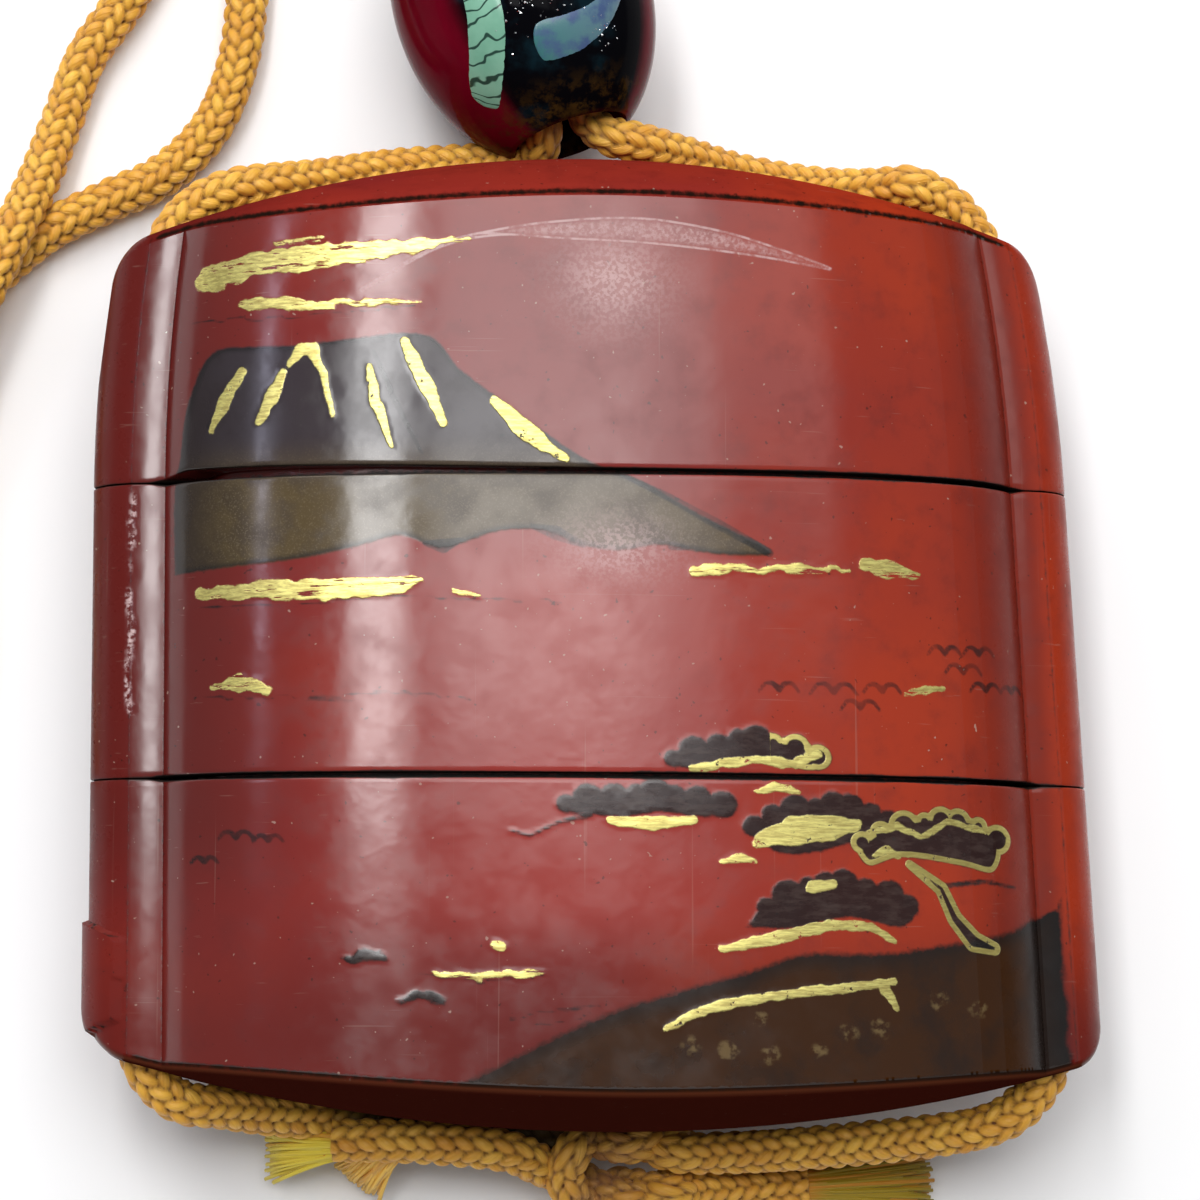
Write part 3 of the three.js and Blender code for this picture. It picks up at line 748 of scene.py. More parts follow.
def from_ends(x, y, z):
    """How far points lie below the domed top and above the domed bottom."""
    top = TOP_APEX - dome_fall(TOP_DOME, x, z) - y
    bottom = y - BOTTOM_APEX - dome_fall(BOTTOM_DOME, x, z)
    return top, bottom


def edge_wear_and_shade(x, y, z):
    """From 0 to 1: dirt and abraded lacquer along seams, ends and arrises, with painted shade in the creases
    and along the seams where their gap is drawn closed.
    """
    spread = 0.10 + 0.28 * grain(x, y, 1.7, 7) ** 2
    at_seam = np.minimum(np.abs(y - UPPER_SEAM), np.abs(y)) - SEAM_GAP / 2
    section_x = np.abs(x) * HALF_WIDTH / half_width_at(y)
    arris = np.hypot(section_x - ARRIS[0], np.abs(z) - ARRIS[1]) / (0.4 + 1.6 * grain(x, y, 1.1, 9) ** 3)
    crease = np.hypot(section_x - CREASE[0], np.abs(z) - CREASE[1]) + 0.05
    seam = np.exp(-np.maximum(at_seam, 0) / (0.5 * spread))
    ends = np.exp(-np.abs(np.minimum(*from_ends(x, y, z)) - 0.35) / 0.22)
    ends *= 1 - ramp(section_x, ARRIS[0] - 0.6, ARRIS[0] + 0.2)
    worn_and_shaded = [seam, 0.9 * ends, 0.5 * np.exp(-arris / 0.3), 0.8 * np.exp(-crease / 0.12)]
    return np.clip(np.maximum.reduce(worn_and_shaded), 0, 1)


def paint_tier(x, y, z, section_x, front, back):
    """Distances to every painted shape, all over a tier."""
    keys = ("gold", "leaf", "lined", "black", "faint", "hill", "pale", "stone")
    values = {key: np.full(len(x), FAR) for key in keys}
    for side, paint in ((front, paint_front), (back, paint_back)):
        for key, shape in paint(x[side], y[side]).items():
            values[key][side] = np.clip(shape, -FAR, FAR)
    ledge = (section_x > CREASE[0] - 0.4) & (z > 0)
    ragged = 1.2 * (grain(x, y, 1.0, 21) - 0.5)
    hill_top = y + 7.9 - 0.7 * (section_x - CREASE[0]) + 1.6 * ragged
    hill_side = section_x - ARRIS[0] + 0.5 + 0.3 * ragged
    values["hill"][ledge] = np.maximum(hill_top, hill_side)[ledge]
    return values


def chipping(y, z, section_x):
    """From 0 to 1: the ragged line where the upper case's left arris is chipped."""
    wander = 0.34 * (grain(y, 0 * y, 1.3, 11) - 0.5)
    nibble = 0.2 * (grain(y, z, 0.4, 12) - 0.5)
    chip = np.exp(-((section_x + ARRIS[0] + wander + nibble) / 0.13) ** 2)
    chip *= ramp(grain(y, 0 * y, 0.9, 13), 0.15, 0.5) * (z > 1.5)
    return chip * (ramp(y, 2.5, 4) * (1 - ramp(y, 16.5, 17.3)))


def seam_closing(y, section_x):
    """Shift along Y that draws the seams together at the sides of the case."""
    to_seam = np.where(y > UPPER_SEAM / 2, UPPER_SEAM, 0) - y
    near = np.clip(1.5 - np.abs(to_seam) / SEAM_GAP, 0, 1)
    return SEAM_CLOSED * (ramp(np.abs(section_x), CREASE[0], CREASE[0] + 1.0) * near) * to_seam


def lacquer_tones(x, y, z, section_x):
    """Shares of the lacquer's broad changes of colour."""
    bottom = from_ends(x, y, z)[1]
    round_corner = ramp(np.abs(section_x), ARRIS[0], ARRIS[0] + 0.8)
    # painted shade: darker towards the bottom, towards the left end and beside the right crease
    left_falloff_shade = 0.95 * (1 - ramp(x, -24.6, -15.5)) * ramp(y, -14, -2)
    low_falloff_shade = 0.8 * ramp(-y, 6, 16)
    right_falloff_shade = 0.6 * ramp(section_x, 19.5, 25.0) * (1 - 0.9 * ramp(section_x, 26.5, 28))
    middle = np.exp(-((x + 2) / 10.5) ** 2) * ramp(-y, -19, -10) * (1 - ramp(-y, 7, 12))
    return {
        # painted shade on the bottom end, less on its rounded corners
        "underside_shade": (1 - ramp(bottom, 0.1, 0.45)) * (1 - 0.6 * round_corner),
        "warm": ramp(x + 0.25 * (10 - y), -8, 26),
        "olive": ramp(-y, -UPPER_SEAM - 2.5, -UPPER_SEAM + 1.5),
        "falloff_shade": np.clip(left_falloff_shade + low_falloff_shade + right_falloff_shade, 0, 1),
        "middle": np.where(z > 0, 0.8 * middle, 0),
        "shade": np.maximum(0.85 * (1 - ramp(x, -24.8, -20.5)), 0.8 * ramp(section_x, 24.0, 25.3)),
        # painted highlight: a lighter line along the bottom end's rim
        "rim_highlight": np.exp(-((bottom - 0.14) / 0.1) ** 2),
    }


def scuff_and_glow(x, y, front):
    """Distance to the scuff, and the strength of the painted highlight glow at two places on the front."""
    line = smooth_line([(*place, width) for place, width in zip(*SCUFF)], 6)
    scuff = np.clip(stroke(x, y, line[:, :2], line[:, 2]), -FAR, FAR)
    glow_patch = sum(np.exp(-((x - cx) / rx) ** 2 - ((y - cy) / ry) ** 2) for cx, cy, rx, ry in GLOW_PLACES)
    return {"scuff": np.where(front, scuff, FAR), "glow_patch": np.where(front, glow_patch, 0)}


def set_finishes(piece, shaders, x, y, z, section_x):
    """Gives each face one of four finishes: body, ends, sides or the turn to the right side."""
    body, ends, sides, turn = range(4)
    near_crease = (section_x > 22.6) & (section_x < CREASE[0] + 0.05)
    at_end = (np.minimum(*from_ends(x, y, z)) < 0.5) & (np.abs(section_x) < ARRIS[0] + 0.3)
    zone = np.where((section_x > 21.0) & (section_x < 22.7), turn, body)
    zone = np.where((np.abs(section_x) > ARRIS[0] + 0.08) | near_crease, sides, zone)
    zone = np.where(at_end, ends, zone)
    corners = np.zeros(len(piece.data.loops), dtype=np.int32)
    piece.data.loops.foreach_get("vertex_index", corners)
    starts = np.zeros(len(piece.data.polygons), dtype=np.int32)
    piece.data.polygons.foreach_get("loop_start", starts)
    piece.data.materials.clear()
    for shader in shaders:
        piece.data.materials.append(shader)
    piece.data.polygons.foreach_set("material_index", zone[corners[starts]].astype(np.int32))


def dress_tier(piece, shaders):
    """Gives a tier its damage, its raised picture, the values that its material reads and its finishes."""
    x, y, z = to_true(points_of(piece))
    section_x = x * HALF_WIDTH / half_width_at(y)
    crown = crown_height(section_x)
    front = (z > 0) & (np.abs(z - crown) < SKIN)
    back = (z < 0) & (np.abs(-z - np.minimum(crown, BACK_FLAT_DEPTH)) < SKIN)
    values = paint_tier(x, y, z, section_x, front, back)
    painted = joined(values["gold"], values["leaf"], values["black"])
    raised = np.where(front & (painted < 0), PAINT_RAISED, 0)
    crack = area(x, y, FRAGMENT)
    on_left_runner = section_x < -CREASE[0]
    loose = (crack < 0) & on_left_runner
    chip = chipping(y, z, section_x)
    moved = [x - FRAGMENT_SHIFT * loose, y + seam_closing(y, section_x), z + raised - CHIP_DEPTH * chip]
    set_points(piece, to_part(np.stack(moved, axis=1)))
    crack_wear = np.exp(-np.abs(crack) / 0.09) * (0.45 + 0.5 * ramp(np.abs(y + 11.8), 1.5, 3.0))
    wear_and_shade = np.maximum(edge_wear_and_shade(x, y, z), np.where(on_left_runner, crack_wear, 0))
    values["wear_and_shade"] = np.clip(wear_and_shade, 0, 1)
    values["chip"] = np.clip(chip * 1.3, 0, 1)
    values.update(lacquer_tones(x, y, z, section_x))
    values.update(scuff_and_glow(x, y, front))
    for key, value in values.items():
        write_values(piece, key, value)
    piece.data.set_sharp_from_angle(angle=math.radians(40))
    set_finishes(piece, shaders, x, y, z, section_x)


# Cord

BEAD_SPIN = np.array(
    Matrix.Rotation(math.radians(BEAD_TURN), 3, "Z") @ Matrix.Rotation(-math.radians(BEAD_LIFT), 3, "X")
)


def bead_to_case(points):
    """From the bead's own frame, whose Y is its hole, to the case's frame."""
    return np.asarray(points, float) @ BEAD_SPIN.T + BEAD_CENTRE


def through_bead(side, low, high):
    """A cord's way along one side of the bead's hole."""
    return bead_to_case([(side * CORD_IN_HOLE, along, 0) for along in np.linspace(low, high, 4)]).tolist()


def outward(piece):
    """Turns a closed mesh's faces outward."""
    points = points_of(piece)
    piece.data.calc_loop_triangles()
    corners = np.zeros(len(piece.data.loop_triangles) * 3, dtype=np.int32)
    piece.data.loop_triangles.foreach_get("vertices", corners)
    a, b, c = (points[corners.reshape(-1, 3)[:, k]] for k in range(3))
    if np.sum(a * np.cross(b, c)) < 0:
        piece.data.flip_normals()
    return piece


def braid_surface(theta, s):
    """The braid's outer radius, with the place across and along its grain and the grain's number."""
    best = np.zeros(np.broadcast(theta, s).shape)
    across = np.zeros(best.shape)
    along = np.zeros(best.shape)
    number = np.zeros(best.shape)
    for column in range(BRAID_COLUMNS):
        side = 1 if column % 2 else -1
        round_by = np.angle(np.exp(1j * (theta - 2 * math.pi * column / BRAID_COLUMNS))) * CORD_RADIUS
        shift = 0.5 * (column % 2)
        nearest = np.round(s / GRAIN_PITCH - shift)
        for index in (nearest - 1, nearest, nearest + 1):
            ahead = s - (index + shift) * GRAIN_PITCH
            slant = side * math.radians(GRAIN_SLANT)
            u = (ahead * math.cos(slant) + round_by * math.sin(slant)) / GRAIN_HALF_LENGTH
            v = (round_by * math.cos(slant) - ahead * math.sin(slant)) / GRAIN_HALF_WIDTH
            height = np.sqrt(np.maximum(0, 1 - u**2 - v**2))
            over = height > best
            best = np.where(over, height, best)
            across = np.where(over, v, across)
            along = np.where(over, u, along)
            number = np.where(over, index * BRAID_COLUMNS + column, number)
    return CORE_RADIUS + GRAIN_HEIGHT * best, across, along, number


def soil_at(points):
    """From 0 to 1: where handling has browned the silk."""
    at_knot = np.exp(-np.sum(((points - KNOT_CENTRE - [-1.2, 0, 0]) / [2.4, 4.0, 4.0]) ** 2, axis=1))
    at_hole = np.exp(-np.sum(((points - bead_to_case([0, -BEAD_HOLE_AT, 0])) / 2.0) ** 2, axis=1))
    return np.clip(0.9 * at_knot + 0.7 * at_hole, 0, 1)


def shade_under_case_at(points):
    """From 0 to 1: the stretch tucked beneath the case, darkened as painted shade."""
    x, y, z = points.T
    beside = ramp(x, -17.5, -13.0) * (1 - ramp(x, -2, 1))
    return beside * (1 - ramp(z, 4.7, 5.1)) * (1 - ramp(-y, 21.3, 21.8)) * ramp(-y, 15, 17)


def braid_piece(name, route, material):
    """A length of braided cord along a route, with its middle line."""
    fine = even_points(smooth_line(route), BRAID_STEP)
    inside = (np.abs(fine[:, 0]) > 23) & (fine[:, 1] > -15) & (fine[:, 1] < 31) & (fine[:, 2] > MIDDLE - 1)
    keep = ~inside | (np.arange(len(fine)) % 3 == 0)
    keep[0] = keep[-1] = True
    s = np.arange(len(fine)) * np.linalg.norm(np.diff(fine, axis=0), axis=1).mean()
    first, second = side_axes(fine)
    fine, s, first, second = fine[keep], s[keep], first[keep], second[keep]
    theta = np.linspace(0, 2 * math.pi, BRAID_SIDES, endpoint=False)[None, :]
    radius, across, along, number = braid_surface(theta + 0.06 * s[:, None], s[:, None])
    squeeze = 1 - 0.16 * np.exp(-np.sum(((fine - KNOT_CENTRE) / 4.5) ** 2, axis=1))
    squeeze -= 0.2 * np.exp(-np.sum(((fine - bead_to_case([0, -BEAD_HOLE_AT, 0])) / 2.6) ** 2, axis=1))
    spread = first[:, None] * np.cos(theta)[..., None] + second[:, None] * np.sin(theta)[..., None]
    rings = fine[:, None] + (radius * squeeze[:, None])[..., None] * spread
    points, faces = ring_solid(rings, fine[:1], fine[-1:])
    piece = outward(make_object(name, route_to_part(points), faces))
    ends = [0.0, 0.0]
    depth = (radius - CORE_RADIUS) / GRAIN_HEIGHT
    hidden = np.repeat(inside[keep] & (fine[:, 1] < 29), BRAID_SIDES)
    write_values(piece, "crown", [*np.clip(depth, 0, 1).ravel(), *ends])
    write_values(piece, "across", [*across.ravel(), *ends])
    write_values(piece, "along", [*along.ravel(), *ends])
    write_values(piece, "lobe", [*grain(number * 3.7, number * 1.3, 1.0, 3).ravel(), *ends])
    write_values(piece, "soil", soil_at(points))
    # painted shade: the stretch beneath the case and the cord hidden in the runners are darkened
    write_values(piece, "shade_under_case", [*np.maximum(np.repeat(shade_under_case_at(fine), BRAID_SIDES), hidden), *ends])
    piece.data.materials.append(material)
    return piece, fine


def knot_route(mirror):
    """One cord end's way through the reef knot."""
    return [
        (KNOT_CENTRE + [mirror * along, 0, 0] + across * KNOT_ACROSS + mirror * out * KNOT_OUT).tolist()
        for along, across, out in KNOT_WAY
    ]


def fray_piece(name, tail, material, count, reach, flare, wild, seed):
    """The loosened silk at a cord's end: many fine fibres that spread from the braid."""
    rng = np.random.default_rng(seed)
    end = np.array(tail[-1])
    forward = end - np.array(tail[-2])
    forward /= np.linalg.norm(forward)
    aside = np.cross(forward, [0, 0, 1.0])
    aside /= np.linalg.norm(aside)
    points, faces, along_all, tint = [], [], [], []
    for _ in range(count):
        angle = rng.uniform(0, 2 * math.pi)
        off = math.sqrt(rng.uniform(0, 1))
        start = aside * math.cos(angle) * off * 0.85 + np.array([0, 0, 1.0]) * math.sin(angle) * off * 0.8
        length = reach * rng.uniform(0.75, 1.1)
        t = np.linspace(0, 1, 8)[:, None]
        swing = aside * rng.normal(0, wild) + np.array([0, 0, 1.0]) * rng.normal(0, wild / 2)
        spread = start * (1 + [flare, flare, 0.2] * t**1.2)
        droop = np.array([0, 0, 0.8 - end[2]]) * 0.6 * t**2
        line = end - forward * 1.6 + forward * t * (length + 1.6) + spread + swing * t**2 + droop
        line[:, 2] = np.maximum(line[:, 2], 0.16)
        first, second = side_axes(line)
        theta = np.linspace(0, 2 * math.pi, 5, endpoint=False)
        ring = first[:, None] * np.cos(theta)[None, :, None] + second[:, None] * np.sin(theta)[None, :, None]
        thick = rng.uniform(0.14, 0.22) * (1 - 0.35 * t)[..., None]
        fibre, fibre_faces = ring_solid(line[:, None] + thick * ring, line[:1], line[-1:])
        base = sum(len(p) for p in points)
        faces += [[base + i for i in reversed(face)] for face in fibre_faces]
        points.append(fibre)
        along_all.append(np.concatenate([np.repeat(t[:, 0], 5), [0, 1]]))
        tint.append(np.full(len(fibre), rng.uniform(0, 1)))
    piece = make_object(name, route_to_part(np.vstack(points)), faces)
    write_values(piece, "tip", np.concatenate(along_all))
    write_values(piece, "lobe", np.concatenate(tint))
    piece.data.materials.append(material)
    return piece


# Bead: crimson glass with trails of other glass and silver flakes; its two black panels are painted shade of
# a black core seen through the glass, its crimson sides painted light through the glass's edges

INLAY_LAYER = (7.83, 10.51)  # radius and half length of the layer that carries the trails
BEAD_TRAILS = {  # each trail's way as (turn in degrees, along), and its half widths
    "bead_mint_trail": (
        [(116, -0.4), (117, -1.0), (119, -2.6), (126, -4.6), (139, -6.4), (146, -7.0)],
        [0.9, 1.2, 1.3, 1.2, 0.9],
    ),
    "bead_teal_trail": (
        [(102, -5.2), (94, -5.3), (80, -5.2), (64, -4.4), (48, -2.6)], [1.1, 1.3, 1.2, 0.9, 0.35],
    ),
    "bead_mauve_dot": (
        [(78, -2.1), (73, -2.0), (68, -1.9), (62, -1.8), (58, -1.7)], [1.3, 1.4, 1.4, 1.4, 1.3],
    ),
    "bead_mint_trail_behind": (
        [(-60, -3.0), (-66, -2.0), (-70, -1.0), (-62, 1.2), (-74, 3.4)], [0.8, 1.1, 1.2, 1.0, 0.6],
    ),
    "bead_teal_trail_behind": (
        [(-110, 2.6), (-116, 1.8), (-122, 1.0), (-130, -1.0)], [0.8, 1.0, 0.9, 0.5],
    ),
}
FLAKE_SIDES = ((0, 2, 4), (2, 1, 4), (1, 3, 4), (3, 0, 4), (2, 0, 5), (1, 2, 5), (3, 1, 5), (0, 3, 5))
FLECK_CLOUDS = [(92, -2.6, 0.8, 60), (66, -5.2, 0.6, 40), (104, -3.6, 0.9, 16), (-90, 0.5, 1.6, 30)]
CORE_SHADE_PANEL = (82.0, 56.0, 44.0)  # a panel's turn, and its half width to where it starts and is full: painted shade of a black core seen through the glass


def bead_to_part(points):
    return route_to_part(bead_to_case(points))


def lathe_piece(name, profile, sides, material):
    """A ring turned about the bead's axis from a closed profile of (radius, along)."""
    profile = np.asarray(profile)
    angle = np.linspace(0, 2 * math.pi, sides, endpoint=False)
    radius = profile[:, 0][:, None]
    along = np.broadcast_to(profile[:, 1][:, None], (len(profile), sides))
    points = np.stack([radius * np.cos(angle), along, radius * np.sin(angle)], -1)
    rows = np.concatenate([points, points[:1]])
    faces = grid_faces(len(rows), sides) % (len(profile) * sides)
    piece = outward(make_object(name, bead_to_part(points.reshape(-1, 3)), faces.tolist()))
    piece.data.set_sharp_from_angle(angle=math.radians(35))
    piece.data.materials.append(material)
    return piece


def oval_radius(radius, half_length, along):
    return radius * np.sqrt(np.maximum(0, 1 - (along / half_length) ** 2))


def glass_profile():
    along = BEAD_HOLE_AT * np.sin(np.linspace(-math.pi / 2, math.pi / 2, 48))
    outer = np.stack([oval_radius(BEAD_RADIUS, BEAD_HALF_LENGTH, along), along], axis=1)
    straight = BEAD_HOLE_AT - BEAD_FLARE_DEPTH
    flare = [(BEAD_FLARE + 0.12, BEAD_HOLE_AT + 0.1), (BEAD_FLARE - 0.05, BEAD_HOLE_AT - 0.1),
             (BEAD_FLARE - 0.35, BEAD_HOLE_AT - 0.8), (BEAD_BORE, straight)]
    lower = [(r, -a) for r, a in reversed(flare)]
    return [*outer.tolist(), *flare, *lower]


def dress_glass(piece):
    """Where the bead is painted black, as painted shade of a black core seen through its glass, and where old
    dirt sits round its holes.
    """
    inner = (points_of(piece) / MM - CASE_ORIGIN - BEAD_CENTRE) @ BEAD_SPIN
    turn = np.arctan2(inner[:, 2], inner[:, 0]) - math.radians(CORE_SHADE_PANEL[0])
    start, full = (math.cos(math.radians(angle)) for angle in CORE_SHADE_PANEL[1:])
    from_end = BEAD_HOLE_AT - np.abs(inner[:, 1])
    write_values(piece, "core_shade", ramp(np.abs(np.cos(turn)), start, full) * ramp(from_end, -0.6, 0.1))
    write_values(piece, "dirt", 1 - ramp(from_end, 0.0, 2.6))


def inlay_piece(name, line, widths, material, lift=0.03, thick=0.1):
    """A flat trail of glass on the crimson layer, along (turn in degrees, along) points."""
    fine = smooth_line([(turn, along, 0.0) for turn, along in line], 14)
    share = np.linspace(0, 1, len(fine))
    width = np.interp(share, np.linspace(0, 1, len(widths)), widths)
    from_tip = np.minimum(share, 1 - share) * 10
    width = width * np.sqrt(1 - (1 - np.clip(from_tip / width, 0.02, 1)) ** 2)
    turn = np.radians(fine[:, 0])
    along = fine[:, 1]
    radius = oval_radius(*INLAY_LAYER, along) + lift
    out = np.stack([np.cos(turn), np.zeros(len(turn)), np.sin(turn)], axis=1)
    centre = out * radius[:, None] + np.stack([0 * along, along, 0 * along], axis=1)
    ahead = np.gradient(centre, axis=0)
    ahead /= np.linalg.norm(ahead, axis=1)[:, None]
    aside = np.cross(out, ahead)
    aside /= np.linalg.norm(aside, axis=1)[:, None]
    angle = np.linspace(0, 2 * math.pi, 28, endpoint=False)
    flat = aside[:, None] * np.cos(angle)[None, :, None] * width[:, None, None]
    rings = centre[:, None] + flat
    length = np.sqrt(rings[..., 0] ** 2 + rings[..., 2] ** 2)
    target = oval_radius(*INLAY_LAYER, rings[..., 1]) + lift + thick * np.sin(angle)[None, :]
    scale = target / length
    rings = np.stack([rings[..., 0] * scale, rings[..., 1], rings[..., 2] * scale], -1)
    points, faces = ring_solid(rings, rings[0].mean(0)[None], rings[-1].mean(0)[None])
    piece = outward(make_object(name, bead_to_part(points), faces))
    across = np.broadcast_to(np.cos(angle)[None, :], rings.shape[:2]) * width[:, None]
    write_values(piece, "across", [*across.ravel(), 0, 0])
    write_values(piece, "along", [*np.repeat(share, len(angle)), 0, 1])
    piece.data.materials.append(material)
    return piece


def fleck_piece(name, clouds, material, seed):
    """Silver flakes on the glass, in clouds of (turn, along, spread, count)."""
    rng = np.random.default_rng(seed)
    points, faces = [], []
    for turn, along, spread, count in clouds:
        for _ in range(count):
            t = math.radians(turn + rng.normal(0, spread * 9))
            a = along + rng.normal(0, spread)
            r = float(oval_radius(*INLAY_LAYER, a)) + 0.07
            centre = np.array([r * math.cos(t), a, r * math.sin(t)])
            size = rng.uniform(0.04, 0.11)
            axes = np.linalg.qr(rng.normal(size=(3, 3)))[0] * [[size], [size], [size * 0.5]]
            base = len(points)
            points += [centre + axes[0], centre - axes[0], centre + axes[1], centre - axes[1],
                       centre + axes[2], centre - axes[2]]
            for i, j, k in FLAKE_SIDES:
                faces.append((base + i, base + j, base + k))
    piece = make_object(name, bead_to_part(points), faces, smooth=False)
    piece.data.materials.append(material)
    return piece


# Materials

class Shader:
    """A material and short ways to add its nodes."""

    def __init__(self, name, **constants):
        self.material = bpy.data.materials.new(name)
        self.material.use_nodes = True
        self.tree = self.material.node_tree
        self.surface = self.tree.nodes["Principled BSDF"]
        for key, value in constants.items():
            self.surface.inputs[key.replace("_", " ")].default_value = value
        self.place = self.tree.nodes.new("ShaderNodeTexCoord").outputs["Object"]

    def put(self, socket, value):
        if isinstance(value, bpy.types.NodeSocket):
            self.tree.links.new(value, socket)
        elif isinstance(value, tuple) and len(value) == 3 and socket.type == "RGBA":
            socket.default_value = (*value, 1.0)
        else:
            socket.default_value = value

    def math(self, operation, a, b=0.0, clamp=False):
        node = self.tree.nodes.new("ShaderNodeMath")
        node.operation = operation
        node.use_clamp = clamp
        self.put(node.inputs[0], a)
        self.put(node.inputs[1], b)
        return node.outputs[0]

    def times(self, a, b):
        return self.math("MULTIPLY", a, b)

    def plus(self, a, b, clamp=False):
        return self.math("ADD", a, b, clamp)

    def most(self, a, b):
        return self.math("MAXIMUM", a, b)

    def value(self, name):
        node = self.tree.nodes.new("ShaderNodeAttribute")
        node.attribute_name = name
        return node.outputs["Fac"]

    def noise(self, per_mm, detail=3.0, roughness=0.55, stretch=(1, 1, 1), place=None):
        mapping = self.tree.nodes.new("ShaderNodeMapping")
        scale = 1.0 if place is not None else 1 / MM
        mapping.inputs["Scale"].default_value = [k * per_mm * scale for k in stretch]
        self.tree.links.new(place if place is not None else self.place, mapping.inputs["Vector"])
        node = self.tree.nodes.new("ShaderNodeTexNoise")
        node.inputs["Scale"].default_value = 1.0
        node.inputs["Detail"].default_value = detail
        node.inputs["Roughness"].default_value = roughness
        self.tree.links.new(mapping.outputs["Vector"], node.inputs["Vector"])
        return node.outputs["Fac"]

    def between(self, value, start, end, low=0.0, high=1.0):
        node = self.tree.nodes.new("ShaderNodeMapRange")
        node.interpolation_type = "SMOOTHSTEP"
        for key, number in zip(("From Min", "From Max", "To Min", "To Max"), (start, end, low, high)):
            self.put(node.inputs[key], number)
        self.put(node.inputs["Value"], value)
        return node.outputs["Result"]

    def mix(self, share, a, b):
        node = self.tree.nodes.new("ShaderNodeMix")
        node.data_type = "RGBA"
        self.put(node.inputs[0], share)
        self.put(node.inputs[6], a)
        self.put(node.inputs[7], b)
        return node.outputs[2]

    def blend(self, share, a, b):
        """A number between a and b."""
        node = self.tree.nodes.new("ShaderNodeMix")
        node.data_type = "FLOAT"
        self.put(node.inputs[0], share)
        self.put(node.inputs[2], a)
        self.put(node.inputs[3], b)
        return node.outputs[0]

    def vector(self, x, y, z=0.0):
        node = self.tree.nodes.new("ShaderNodeCombineXYZ")
        for socket, number in zip(node.inputs, (x, y, z)):
            self.put(socket, number)
        return node.outputs[0]

    def bump(self, height, depth, strength=1.0):
        node = self.tree.nodes.new("ShaderNodeBump")
        node.inputs["Strength"].default_value = strength
        node.inputs["Distance"].default_value = depth * MM
        self.put(node.inputs["Height"], height)
        return node.outputs["Normal"]

    def finish(self, **inputs):
        for key, value in inputs.items():
            self.put(self.surface.inputs[key.replace("_", " ")], value)
        return self.material


RED_DEEP = (0.190, 0.017, 0.014)
RED_WARM = (0.330, 0.030, 0.008)
RED_DARK = (0.100, 0.010, 0.008)
RED_MIDDLE = (0.310, 0.034, 0.026)
GOLD_BRIGHT = (0.82, 0.75, 0.25)
GOLD_DULL = (0.48, 0.39, 0.12)
STONE_GREY = (0.026, 0.025, 0.030)
STONE_OLIVE = (0.075, 0.056, 0.022)
HILL_BROWN = (0.036, 0.011, 0.001)
BLACK = (0.007, 0.006, 0.006)
BRUSHED_GREY = (0.030, 0.024, 0.021)
DIRT_AND_SHADE = (0.012, 0.006, 0.004)
PALE = (0.45, 0.34, 0.27)
HILL_DUST = (0.15, 0.10, 0.04)
# the next colour is painted shade of the bottom end
RED_UNDERSIDE_SHADE = (0.022, 0.003, 0.002)
# the next colour is a painted highlight along the bottom end's rim
RED_RIM_HIGHLIGHT = (0.13, 0.035, 0.015)
RUBBED_AND_GLOW = (0.62, 0.45, 0.44)
STONE_DUST = (0.22, 0.18, 0.11)


def red_ground(m, cloud):
    """The plain lacquer: reds that vary over the case, with fine scratches and specks, and painted shade
    towards the bottom, the left end and the right crease.
    """
    broad = m.between(m.noise(0.055, 2), 0.35, 0.65, -0.25, 0.25)
    red = m.mix(m.plus(m.value("warm"), broad, True), RED_DEEP, RED_WARM)
    red = m.mix(m.between(cloud, 0.44, 0.78, 0.0, 0.4), red, RED_DARK)
    red = m.mix(m.value("middle"), red, RED_MIDDLE)
    # painted shade: darker towards the bottom, the left end and the right crease
    red = m.mix(m.value("falloff_shade"), red, RED_DARK)
    for stretch in ((0.05, 5.0, 1.0), (3.5, 0.04, 1.0)):
        scratch = m.noise(1.0, 2, 0.5, stretch)
        red = m.mix(m.between(scratch, 0.70, 0.76, 0.0, 0.10), red, PALE)
    speck = m.noise(2.6, 1)
    red = m.mix(m.between(speck, 0.76, 0.80, 0.0, 0.5), red, PALE)
    return m.mix(m.between(speck, 0.26, 0.22, 0.0, 0.6), red, DIRT_AND_SHADE)


def stone_ground(m, cloud):
    """The mountain's grey, olive and dusty below the upper seam."""
    colour = m.mix(m.value("olive"), STONE_GREY, STONE_OLIVE)
    colour = m.mix(m.between(cloud, 0.4, 0.7, 0.0, 0.45), colour, BLACK)
    dust = m.times(m.value("olive"), m.between(m.noise(9.0, 2), 0.5, 0.72, 0.0, 0.3))
    colour = m.mix(dust, colour, STONE_DUST)
    return m.mix(m.value("shade"), colour, BLACK)


def hill_ground(m):
    """The hill's brown, blacker along its edge."""
    colour = m.mix(m.between(m.noise(0.25, 4, 0.6), 0.45, 0.75, 0.0, 0.6), HILL_BROWN, BLACK)
    colour = m.mix(m.between(m.value("hill"), -1.3, -0.1, 0.0, 0.7), colour, BLACK)
    return m.mix(m.value("shade"), colour, BLACK)


def pale_rub_and_glow(m):
    """Share of pale colour: the scuff's outline and inside, which are real scraping, and a painted highlight
    glow at two places.
    """
    scuff = m.value("scuff")
    speckle = m.between(m.noise(4.5, 3), 0.40, 0.62, 0.35, 1.0)
    broken = m.between(m.noise(0.9, 4, 0.7), 0.35, 0.6, 0.15, 1.0)
    line = m.times(m.between(m.math("ABSOLUTE", scuff), 0.11, 0.02, 0.0, 0.6), broken)
    fill = m.times(m.between(scuff, 0.06, -0.4, 0.0, 0.4), speckle)
    glow = m.times(m.value("glow_patch"), m.times(speckle, 0.6))
    return m.most(m.most(line, fill), glow)


